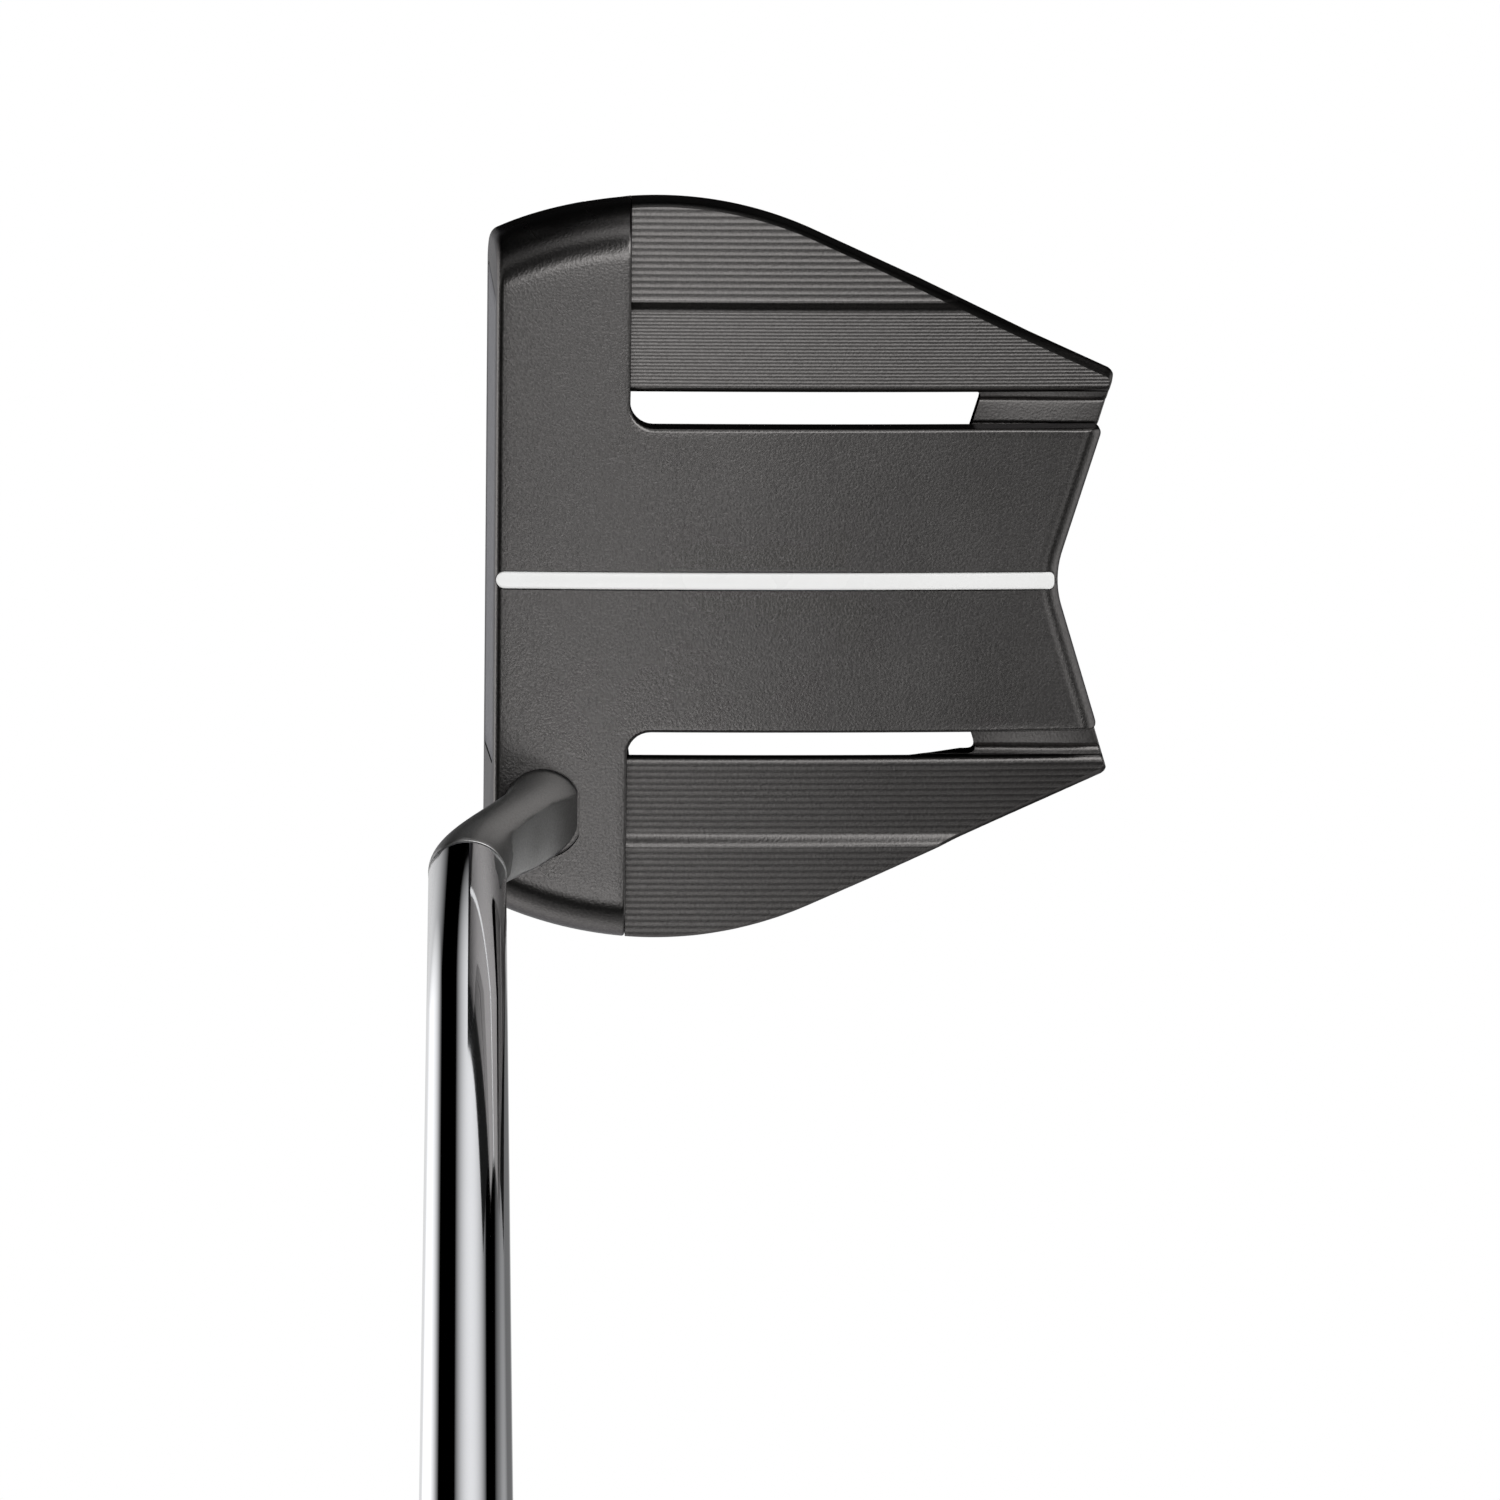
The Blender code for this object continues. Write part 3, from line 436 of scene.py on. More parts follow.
def barHalf(y):
    # section of the bar at each y, from the middle of the top round the heel end to the middle
    # of the bottom: a flat, an ellipse, a wall and a quarter ellipse underneath
    top = arch(y)[:, None]
    out = outlineX(y)[:, None]
    flatEnd = out - crown["endWidth"]
    shoulder = crown["plateHalf"] + crown["plateCorner"]
    inner = np.linspace(0, shoulder, 13)[None, :] + 0 * top
    outer = shoulder + (flatEnd - shoulder) * np.linspace(0, 1, 9)[None, 1:]
    turn = np.linspace(0, pi / 2, 17)[None, 1:]
    roundX = flatEnd + crown["endWidth"] * np.sin(turn)
    roundZ = top - crown["endHeight"] * (1 - np.cos(turn))
    wallTop = top - crown["endHeight"]
    wallZ = wallTop + (head["bellyHeight"] - wallTop) * np.linspace(0, 1, 4)[1:]
    turn = np.linspace(0, pi / 2, 11)[None, 1:]
    bellyX = out - head["bellyInset"] * (1 - np.cos(turn))
    bellyZ = head["bellyHeight"] - (head["bellyHeight"] - head["bottom"]) * np.sin(turn) + 0 * top
    under = (out - head["bellyInset"]) * np.linspace(1, 0, 12)[None, 1:]
    x = np.concatenate([inner, outer, roundX, out + 0 * wallZ, bellyX, under], 1)
    z = np.concatenate([top + 0 * inner, top + 0 * outer, roundZ, wallZ, bellyZ,
                        head["bottom"] + 0 * under], 1)
    return x, z


def barRing(depth, inset, lean):
    # the whole loop at a depth behind the face, drawn in along its normals
    x, z = barHalf(np.array([depth]))
    x = np.concatenate([x[0], -x[0][-2:0:-1]])
    z = np.concatenate([z[0], z[0][-2:0:-1]])
    alongX = np.roll(x, -1) - np.roll(x, 1)
    alongZ = np.roll(z, -1) - np.roll(z, 1)
    size = np.hypot(alongX, alongZ)
    x = x + inset * alongZ / size
    z = z - inset * alongX / size
    y = depth - (headTop - z) * math.tan(head["loft"]) * lean
    return toWorld(x, y, z)


def makeBar():
    # rings behind one another: a quarter round in front, straight sides, a quarter round behind
    front, back, depth = crown["frontRound"], crown["backRound"], crown["barDepth"]
    turns = np.linspace(0, pi / 2, 8)
    rings = [barRing(front * (1 - math.cos(a)), front * (1 - math.sin(a)), 1.0) for a in turns]
    for d in np.linspace(front, depth - back, 16)[1:-1]:
        rings.append(barRing(d, 0.0, 1 - smooth(crown["loftFade"], depth - back, d)))
    rings += [barRing(depth - back * (1 - math.cos(a)), back * (1 - math.sin(a)), 0.0) for a in turns[::-1]]
    return loftPiece("crownBlock", np.stack(rings))


def makePlate():
    # a skin over the plate's outline: a top sheet and a bottom sheet that bend into the notch,
    # joined round the edge by a strip: a quarter ellipse, a wall and a small round below
    half, corner, wide = crown["plateHalf"], crown["plateCorner"], crown["plateRound"]
    foot, lift = crown["footRound"], crown["plateLift"]
    depth = crown["barDepth"] + 0.02
    tipY = float(notchEdge(np.array(half)))
    turn = np.linspace(0, pi / 2, 9)
    frontX, frontY = half + corner, depth + corner
    fan = np.linspace(0, pi / 2, 5)[:-1]
    edge = [np.stack([frontX + wide * np.cos(fan), depth - wide + wide * np.sin(fan)], -1),
            np.stack([frontX - corner * np.sin(turn), frontY - corner * np.cos(turn)], -1)]
    far = corner + wide
    inner = [np.stack([frontX + 0 * fan, depth - wide + 0 * fan], -1),
             np.stack([frontX - far * np.sin(turn), frontY - far * np.cos(turn)], -1)]
    sideY = np.linspace(frontY, tipY - crown["tipRound"] * 1.6, 34)[1:]
    tipIn = half - wide
    lastIn = float(notchEdge(np.array(tipIn), crown["notchRollWide"]))
    inY = frontY + (lastIn - frontY) * (sideY - frontY) / (sideY[-1] - frontY)
    edge.append(np.stack([half + 0 * sideY, sideY], -1))
    inner.append(np.stack([tipIn + 0 * sideY, inY], -1))
    sideCount = sum(len(part) for part in edge)
    # the tip's corner in plan, then the notch to the middle
    bend = np.linspace(0, 1, 8)[1:, None]
    cornerPoint = np.array([half, tipY])
    startPoint = np.array([half, sideY[-1]])
    outX = half - crown["tipRound"] * 1.4
    endPoint = np.array([outX, float(notchEdge(np.array(outX)))])
    edge.append((1 - bend) ** 2 * startPoint + 2 * bend * (1 - bend) * cornerPoint + bend ** 2 * endPoint)
    inner.append(np.repeat([[tipIn, lastIn]], len(bend), 0))
    share = np.linspace(1, 0, 25)[1:]
    edge.append(np.stack([outX * share, notchEdge(outX * share)], -1))
    inner.append(np.stack([tipIn * share, notchEdge(tipIn * share, crown["notchRollWide"])], -1))
    edge, inner = np.concatenate(edge), np.concatenate(inner)
    count = len(edge)
    along = np.arange(count)
    deep = wide + (crown["notchRollDeep"] - wide) * smooth(sideCount - 8, sideCount + 6, along)
    # the strip round the edge, from the top sheet to the bottom sheet
    turn = np.linspace(0, pi / 2, 9)
    x = inner[:, None, 0] + (edge[:, None, 0] - inner[:, None, 0]) * np.sin(turn)
    y = inner[:, None, 1] + (edge[:, None, 1] - inner[:, None, 1]) * np.sin(turn)
    z = arch(inner[:, 1])[:, None] + lift - deep[:, None] * (1 - np.cos(turn))
    z = z + (arch(y) - arch(inner[:, 1])[:, None]) * np.sin(turn) ** 2
    low = arch(edge[:, 1])[:, None] - crown["plateThickness"]
    wallZ = z[:, -1:] + (low + foot - z[:, -1:]) * np.linspace(0, 1, 4)[1:]
    inward = (inner - edge) / np.maximum(np.linalg.norm(inner - edge, axis=1), 1e-6)[:, None]
    turn = np.linspace(0, pi / 2, 4)[1:]
    footX = edge[:, None, 0] + inward[:, None, 0] * foot * (1 - np.cos(turn))
    footY = edge[:, None, 1] + inward[:, None, 1] * foot * (1 - np.cos(turn))
    x = np.concatenate([x, edge[:, None, 0] + 0 * wallZ, footX], 1)
    y = np.concatenate([y, edge[:, None, 1] + 0 * wallZ, footY], 1)
    z = np.concatenate([z, wallZ, low + foot - foot * np.sin(turn)], 1)
    strip = toWorld(x, y, z)
    mirror = toWorld(-x, y, z)
    sheets = []
    across = np.concatenate([np.linspace(1, 0, 25), -np.linspace(0, 1, 25)[1:]])
    for column, level in ((0, lift), (-1, -crown["plateThickness"])):
        sideX, sideEndY = x[:sideCount, column], y[:sideCount, column]
        bendShare = smooth(20.0, 72.0, sideEndY)[:, None]
        back = np.interp(np.abs(across), share[::-1], y[sideCount + len(bend):, column][::-1])
        back = np.where(np.abs(across) > 0.999, sideEndY[-1], back)
        sheetY = sideEndY[:, None] + bendShare / bendShare[-1] * (back - sideEndY[-1])
        sheets.append(gridPatch(toWorld(sideX[:, None] * across, sheetY, arch(sheetY) + level)))
    front = np.concatenate([strip[0], mirror[0][::-1]])
    patches = sheets + [gridPatch(strip), gridPatch(mirror)]
    return buildPiece("plateShell", patches, (front,), merge=8e-6)


# alignment line
inlay = {"front": 0.12, "back": 72.3, "half": 1.1, "backRound": 0.7, "deep": 0.5, "gap": 0.13}


def lineLoop(grow):
    # half width of the alignment line along its length: full round in front, round corners behind
    front, back, half = inlay["front"] - grow, inlay["back"] + grow, inlay["half"] + grow
    reach = np.linspace(0, pi / 2, 9)
    small = inlay["backRound"]
    straight = np.linspace(front + half, back - small, 60)[1:-1]
    y = np.concatenate([front + half * (1 - np.cos(reach)), straight, back - small * (1 - np.sin(reach))])
    width = np.concatenate([half * np.sin(reach), half + 0 * straight, half - small * (1 - np.cos(reach))])
    return y, np.maximum(width, 0.02)


def lineCutter():
    # the groove: the line's outline with a gap round it
    y, width = lineLoop(inlay["gap"])
    low, high = arch(y) - 0.8, arch(y) + 2.0
    x = np.stack([-width, width, width, -width], 1)
    z = np.stack([low, low, high, high], 1)
    return loftPiece("lineCutter", toWorld(x, y[:, None], z))


# face insert: heights above the ground, and x toward the heel
insert = {
    "bottom": 4.2, "top": 21.2, "toeLow": -39.0, "toeHigh": -36.0, "heel": 24.5,
    "corner": 1.5, "thickness": 3.2, "chamfer": 0.25,
    "grooveStep": 1.25, "grooveDepth": 0.22, "grooveFade": 1.6,
    "pocketGap": 0.25, "pocketDepth": 4.6,
}


def insertLoop(grow):
    # outline in the face's own plane: x, and height below the crown, with bent corners
    low, high = insert["bottom"] - headTop - grow, insert["top"] - headTop + grow
    corners = np.array([[insert["toeLow"] - grow, low], [insert["heel"] + grow, low],
                        [insert["heel"] + grow, high], [insert["toeHigh"] - grow, high]])
    radius = insert["corner"] + grow
    points = []
    for k in range(4):
        here, before, after = corners[k], corners[k - 1], corners[(k + 1) % 4]
        back = (before - here) / np.linalg.norm(before - here)
        on = (after - here) / np.linalg.norm(after - here)
        start, end = here + back * radius, here + on * radius
        bend = np.linspace(0, 1, 9)[:, None]
        points.append((1 - bend) ** 2 * start + 2 * bend * (1 - bend) * here + bend ** 2 * end)
    return np.concatenate(points)


def onFace(x, depth, below):
    # from the face's own plane to the head: a turn by the loft about the top edge
    lean = head["loft"]
    return toWorld(x, depth * math.cos(lean) + below * math.sin(lean),
                   headTop + below * math.cos(lean) - depth * math.sin(lean))


def facePrism(name, loop, front, back):
    # a block over a loop in the face's plane, between two depths
    return loftPiece(name, np.stack([onFace(loop[:, 0], d, loop[:, 1]) for d in (front, back)]))


# neck: its foot is a circle with a straight back, drawn out toward the heel
neck = {
    "x": 29.8, "y": 6.3, "radius": 5.05, "flat": 4.55, "heelExtra": 0.5,
    "pocket": 0.8, "pocketGrow": 0.27, "pocketHeel": 1.3,
    "flatDeeper": 1.1, "flatFade": 1.9, "flatTurn": math.radians(8),     # the flat on its way up the neck
    "shoulderMore": 2.8, "shoulderRadius": 4.95,
    "pegRadius": 3.5, "pegLength": 7.0,
    "post": ((4.9, 0.0), (4.0, 0.0), (4.0, 22.4), (3.2, 23.2)),      # radius, and distance into the shaft
}
neckFloor = float(arch(np.array(neck["y"]))) - neck["pocket"]


def neckOutline(turns, radius, flat, heelExtra):
    # a circle drawn out toward the heel, its back cut straight
    x = radius * np.cos(turns) + heelExtra * (np.cos(turns) > 1e-6)
    return x, np.minimum(radius * np.sin(turns), flat)


def neckPocketLoop():
    # the foot's outline with a gap round it, wider toward the heel
    turns = np.linspace(0, 2 * pi, 121)[:-1]
    grow = neck["pocketGrow"]
    x, y = neckOutline(turns, neck["radius"] + grow, neck["flat"] + grow, neck["pocketHeel"])
    return np.stack([neck["x"] + x, neck["y"] + y], -1)


def makeCrown():
    # bar and plate made one, then the cuts for the shelf, neck, bolt, insert and line
    block = makeBar()
    carve(block, [makePlate()], "UNION")
    shelf, bolt, end = crown["shelf"], crown["boltHole"], crown["lineEnd"]
    shelfLoop = np.array([[-60, shelf["front"]], [60, shelf["front"]], [60, shelf["back"]],
                          [-60, shelf["back"]]], float)
    carve(block, [
        prismPiece("shelfCutter", shelfLoop, -5.0, shelf["top"]),
        prismPiece("neckCutter", neckPocketLoop(), neckFloor, headTop + 5),
        prismPiece("boltCutter", discLoop(neck["x"], neck["y"], bolt["radius"]), -3.0, bolt["top"]),
        facePrism("insertCutter", insertLoop(insert["pocketGap"]), -3.0, insert["pocketDepth"]),
        lineCutter(),
        prismPiece("endHoleCutter", discLoop(0.0, end["y"], end["radius"], 24), headTop - end["depth"],
                   headTop + 2)])
    return place(block, "crown", "block_alloy", "striking_block")


makeCrown()
print("crown made")


def makeLine():
    # inlay with a low domed top: each section is an arc across with small round shoulders
    y, width = lineLoop(0.0)
    across = np.linspace(-1, 1, 25)
    shoulder = np.abs(across) ** 10
    x = width[:, None] * across
    z = arch(y)[:, None] - 0.03 - 0.07 * across ** 2 - 0.12 * shoulder
    under = arch(y)[:, None] - inlay["deep"] + 0 * z[:, :2]
    x = np.concatenate([x, x[:, -1:], x[:, :1]], 1)
    z = np.concatenate([z, under], 1)
    line = loftPiece("alignmentInlay", toWorld(x, y[:, None], z))
    return place(line, "line", "line_enamel", "alignment_line")


makeLine()


def sideAt(heights, points):
    # x of one side of an outline at each height
    order = np.argsort(points[:, 1])
    return np.interp(heights, points[order, 1], points[order, 0])[:, None]


def makeInsert():
    # plate with a rounded edge; its front carries straight grooves from toe to heel,
    # whose depth follows a raised cosine up the face
    chamfer, thickness = insert["chamfer"], insert["thickness"]
    outer = insertLoop(0.0)
    rings = [onFace(outer[:, 0], depth, outer[:, 1]) for depth in (thickness, chamfer)]
    for turn in np.linspace(0, pi / 2, 4)[1:]:
        small = insertLoop(-chamfer * (1 - math.cos(turn)))
        rings.append(onFace(small[:, 0], chamfer * (1 - math.sin(turn)), small[:, 1]))
    low, high = small[:, 1].min(), small[:, 1].max()
    heights = np.linspace(low, high, 260)
    left = sideAt(heights, small[small[:, 0] < 0])
    right = sideAt(heights, small[small[:, 0] > 0])
    x = left + (right - left) * np.linspace(0, 1, 70)
    below = heights[:, None] + 0 * x
    wave = 0.5 - 0.5 * np.cos(2 * pi * (heights - low) / insert["grooveStep"])
    toEdge = np.minimum.reduce([x - left, right - x, below - low, high - below])
    depth = insert["grooveDepth"] * (wave ** 3)[:, None] * smooth(0.0, insert["grooveFade"], toEdge)
    patches = [gridPatch(np.stack(rings), False, True), gridPatch(onFace(x, depth, below))]
    back = onFace(outer[:, 0], thickness, outer[:, 1])
    plate = buildPiece("milledInsert", patches, (back,), merge=1e-6)
    return place(plate, "insert", "insert_alloy", "face_insert")


makeInsert()
print("face made")


# wing frame: both wings, the webs behind the slots and the spine under the plate
wing = {
    "slotHalf": 23.8, "slotRound": 0.85, "spineHalf": 15.4, "webY": 61.7, "webSlant": 0.31,
    # drop of the wing's top below the crown's arch: at the slot, each side of the crease, at the edge
    "dropInner": 5.6, "dropValley": 6.5, "dropCrest": 5.9, "dropOuter": 7.1, "outerSpan": 13.1,
    "edgeRound": 0.55, "edgeStart": math.radians(50.0), "edgeWiden": 0.4,
    "tipRound": 1.5, "backRound": 0.45, "backY": 79.9, "front": 17.3,
    "shelfFront": 11.5, "shelfTop": 8.0,
    "bendFrom": 52.0, "bendTo": 79.0, "bendX": 25.5,     # the rows take the notch's shape over this length
    "bellyHigh": 7.8, "tailY": 55.0, "tailSlope": 0.3,
    "spineEdge": 16.3, "spineDrop": 5.85, "webDrop": 8.0, "webRise": 1.4, "webRiseFrom": 62.0,
}
# half width, and how far the surface lies below the web's level
webShape = {
    "x": (15.4, 16.2, 18.5, 19.55, 19.7, 19.85, 20.1, 20.5, 22.3, 22.55, 22.7, 22.78, 22.9, 23.15, 23.8),
    "drop": (-2.3, -2.3, 0.14, 0.2, -0.04, -0.09, -0.08, -0.06, 0.04, 0.07, 0.18, 0.1, -0.28, -0.4, -0.42),
}
# what is cut from below: under the slots' sides, and the seats of sole plate, weights and screws
cuts = {
    "underEnds": (57.0, 61.0, 66.0), "underReach": (29.0, 27.0, 24.6), "underTop": 11.0, "underGap": 0.35,
    "weightX": 36.4, "weightY": 24.0, "weightBore": (6.3, 4.2), "weightHole": (4.9, 10.5),
    "barScrewX": 35.4, "barScrewY": 14.5, "barScrewHole": (2.7, 4.4),
    "soleHalf": 13.0, "soleBack": 56.0, "soleCorner": 4.0, "soleTop": 3.3, "soleGap": 0.3,
    "crownScrewY": (28.0, 41.0, 62.5), "crownScrewRadius": 3.6, "crownScrewHead": 3.3,
}


def scallop(x, pitch):
    # ridges between the passes of a ball-nosed tool: height grows with the square of the
    # distance from the middle of each pass
    u = (x / pitch) % 1.0 * 2 - 1
    return milling["cusp"] * pitch / milling["pitch"] * u * u


def wingTop(x, y, side):
    # wing's upper side: the crown's arch less a drop that has a step at the crease
    across = np.abs(x)
    crease, width = milling["creaseX"], milling["creaseWidth"]
    share = np.clip((across - wing["slotHalf"]) / (crease - width - wing["slotHalf"]), 0, 1)
    inner = wing["dropInner"] + (wing["dropValley"] - wing["dropInner"]) * share
    outward = (across - crease) / wing["outerSpan"]
    outer = wing["dropCrest"] + (wing["dropOuter"] - wing["dropCrest"]) * outward
    rise = np.clip((across - crease) / width + 1, 0, 1)
    drop = inner + (outer - inner) * rise ** 2 * (1.5 - 0.5 * rise ** 4)
    innerPitch = milling["finePitch"] if side < 0 else milling["pitch"]
    lines = np.where(across < crease, scallop(across, innerPitch), scallop(across, milling["pitch"]))
    band = (across > crease - width - milling["smoothBand"]) & (across < crease + 0.1)
    return arch(y) - drop + np.where(band, 0.0, lines)


def underside(y):
    # flat, then rising toward the tail
    return head["bottom"] + np.maximum(y - wing["tailY"], 0.0) * wing["tailSlope"]


def middleTop(x, y):
    # between the wings: the spine under the plate, then the webs, which lie lower than the wings
    side = np.abs(x)
    level = wing["webDrop"] - wing["webRise"] * smooth(wing["webRiseFrom"], wing["bendTo"], y)
    web = arch(y) - level - np.interp(side, webShape["x"], webShape["drop"])
    return np.where(side < wing["spineEdge"], np.minimum(web, arch(y) - wing["spineDrop"]), web)


def wingColumns(side):
    # x of the columns that carry the milling, six to a pass
    start, end = wing["slotHalf"] + wing["slotRound"], outlineX(np.array(head["sideCentreY"])) + 0.2
    innerPitch = milling["finePitch"] if side < 0 else milling["pitch"]
    valley = milling["creaseX"] - milling["creaseWidth"] - milling["smoothBand"]
    inner = np.arange(start, valley, innerPitch / 6)
    outer = np.arange(milling["creaseX"], end, milling["pitch"] / 6)[1:]
    return np.concatenate([inner, np.linspace(valley, milling["creaseX"], 20), outer])


def rowEdge(offset, slope):
    # x where the row y = offset + slope x meets the outline: side circle, flank or tip circle
    flank, back, r = head["flankAngle"], head["notchAngle"], wing["tipRound"]
    arcX = head["sideCentreX"] + head["sideRadius"] * math.cos(flank)
    arcY = head["sideCentreY"] + head["sideRadius"] * math.sin(flank)
    lines = np.array([[math.cos(flank), math.sin(flank)], [-math.sin(back), math.cos(back)]])
    reach = np.array([arcX * math.cos(flank) + arcY * math.sin(flank), head["notchY"] * math.cos(back)])
    tip = np.linalg.solve(lines, reach - r)
    onCircle = []
    for centreX, centreY, radius in ((head["sideCentreX"], head["sideCentreY"], head["sideRadius"]),
                                     (tip[0], tip[1], r)):
        a = 1 + slope ** 2
        b = -centreX + slope * (offset - centreY)
        c = centreX ** 2 + (offset - centreY) ** 2 - radius ** 2
        onCircle.append((-b + np.sqrt(np.maximum(b * b - a * c, 0.0))) / a)
    side, corner = onCircle
    straight = (arcX + (arcY - offset) * math.tan(flank)) / (1 + slope * math.tan(flank))
    x = np.where(offset + slope * side < arcY, side, straight)
    return np.where(offset + slope * straight > tip[1] + r * math.sin(flank), corner, x)


def ladder(x, topCount, bellyEnd, indexOf):
    # faces that close one half of the last section, between its top columns and its lower ones
    below = list(range(len(x) - 1, bellyEnd - 1, -1))
    marks = [0] + [min(int(np.searchsorted(x[:topCount], x[b])), topCount - 1) for b in below[1:]]
    faces = []
    for k in range(len(below) - 1):
        ring = [below[k], below[k + 1]] + list(range(marks[k + 1], marks[k] - 1, -1))
        faces.append([indexOf(i) for i in ring])
    faces.append([indexOf(i) for i in range(bellyEnd, marks[-1] - 1, -1)])
    return faces


def wingStations():
    # distances of the sections from the face, and how far the last ones sink into the rear edge's round
    back, r = wing["backY"], wing["backRound"]
    turns = np.linspace(0, pi / 2, 5)
    steps = [np.arange(*span) for span in ((wing["front"], 52.0, 0.56), (52.0, 76.5, 0.42),
                                           (76.5, back - r - 0.05, 0.25))]
    stations = np.concatenate([[wing["shelfFront"], wing["front"]]] + steps + [back - r + r * np.sin(turns)])
    fall = np.concatenate([np.zeros(len(stations) - len(turns)), r * (1 - np.cos(turns))])
    return stations[:, None], fall[:, None]


def wingHalf(side, stations, fall):
    # half of every section, from the middle of the top round the outer edge to the middle of the
    # bottom
    bend = smooth(wing["bendFrom"], wing["bendTo"], stations)
    slope = math.tan(head["notchAngle"])
    parts = []
    def rowY(x):
        # each row is straight at the front and takes the notch's shape at the back
        shape = notchEdge(np.minimum(np.abs(x), 60.0)) - notchEdge(np.array(wing["bendX"]))
        return stations + bend * shape
    def add(x, z):
        # some more columns of every section
        parts.append(np.stack(np.broadcast_arrays(x, rowY(x), z)))
    between = (0, 5, 10, 17.0, 20.05, 20.27, 20.55, 21.5, 22.63, 22.84, 23.0, 23.4)
    x = np.unique(np.concatenate([between, webShape["x"]])) + 0 * bend
    add(x, middleTop(x, rowY(x)) - fall)
    # round of the slot's upper edge
    r = wing["slotRound"]
    turn = np.linspace(0, pi / 2, 8)
    x = wing["slotHalf"] + r * (1 - np.cos(turn)) + 0 * bend
    add(x, wingTop(wing["slotHalf"] + r + 0 * x, rowY(x), side) - r * (1 - np.sin(turn)) - fall)
    # milled top, held inside the outline
    r = wing["edgeRound"] + wing["edgeWiden"] * smooth(48.0, 66.0, stations)
    out = rowEdge(stations - bend * slope * wing["bendX"], bend * slope)
    edgeX = out - r
    x = np.minimum(wingColumns(side)[1:], edgeX)
    add(x, wingTop(x, rowY(x), side) - fall)
    topCount = sum(part.shape[2] for part in parts)
    # outer edge: an arc that starts steeply and widens at the back, then the wall and the belly
    start = wing["edgeStart"]
    turn = np.linspace(start, pi / 2, 7)[1:]
    crest = wingTop(edgeX, rowY(edgeX), side) - fall
    reach = r / (1 - math.sin(start))
    add(edgeX + reach * (np.sin(turn) - math.sin(start)), crest - reach * (math.cos(start) - np.cos(turn)))
    low = underside(rowY(edgeX))
    wallTop = crest - reach * math.cos(start)
    bellyTop = np.minimum(low + wing["bellyHigh"], wallTop - 0.3)
    add(out, wallTop + (bellyTop - wallTop) * np.linspace(0, 1, 5)[1:])
    turn = np.linspace(0, pi / 2, 11)[1:]
    inset = np.minimum(head["bellyInset"], (bellyTop - low) * 0.6)
    add(out - inset * (1 - np.cos(turn)), bellyTop - (bellyTop - low) * np.sin(turn))
    bellyEnd = sum(part.shape[2] for part in parts) - 1
    x = (out - inset) * np.linspace(1, 0, 10)[1:]
    add(x, underside(rowY(x)))
    x, y, z = np.concatenate(parts, 2)
    z[:2] = np.minimum(z[:2], wing["shelfTop"])      # the shelf under the bar
    return side * x, y, z, topCount, bellyEnd


def slotCutter(side, label):
    # the slot: straight sides, a slanted end at the web with one round corner
    inner, outer, front = wing["spineHalf"], wing["slotHalf"] - 0.02, wing["front"] + 0.05
    webIn, webOut = [wing["webY"] + (x - 19.5) * wing["webSlant"] for x in (inner, outer)]
    bend = np.linspace(0, 1, 7)[:, None]
    corner = np.array([outer, webOut])
    start, end = corner - [1.2, 0.37], corner - [0, 1.4]
    arc = (1 - bend) ** 2 * start + 2 * bend * (1 - bend) * corner + bend ** 2 * end
    loop = np.concatenate([[[inner, front], [inner, webIn]], arc, [[outer, front]]])
    return prismPiece("slotCutter" + label, loop * [side, 1], -4.0, 40.0)


def underCutter(side, label):
    # an undercut beside the slot that follows the wing's top and dips under the web
    inner = wing["spineHalf"] + 1
    ys = np.concatenate([np.linspace(wing["front"] + 0.3, 54.0, 8), cuts["underEnds"]])
    tops = arch(ys) - wing["dropInner"] - wing["slotRound"] - cuts["underGap"]
    tops = tops + (cuts["underTop"] - tops) * np.clip((ys - 55.0) / 6.0, 0, 1)
    rings = []
    for y, top, far in zip(ys, tops, np.interp(ys, cuts["underEnds"], cuts["underReach"])):
        x = np.array([inner, far, far, min(far - 0.3, 24.3), inner])
        rings.append(toWorld(x * side, y, np.array([-6.0, -6.0, top - 4.8, top, top])))
    return loftPiece("underCutter" + label, np.stack(rings))


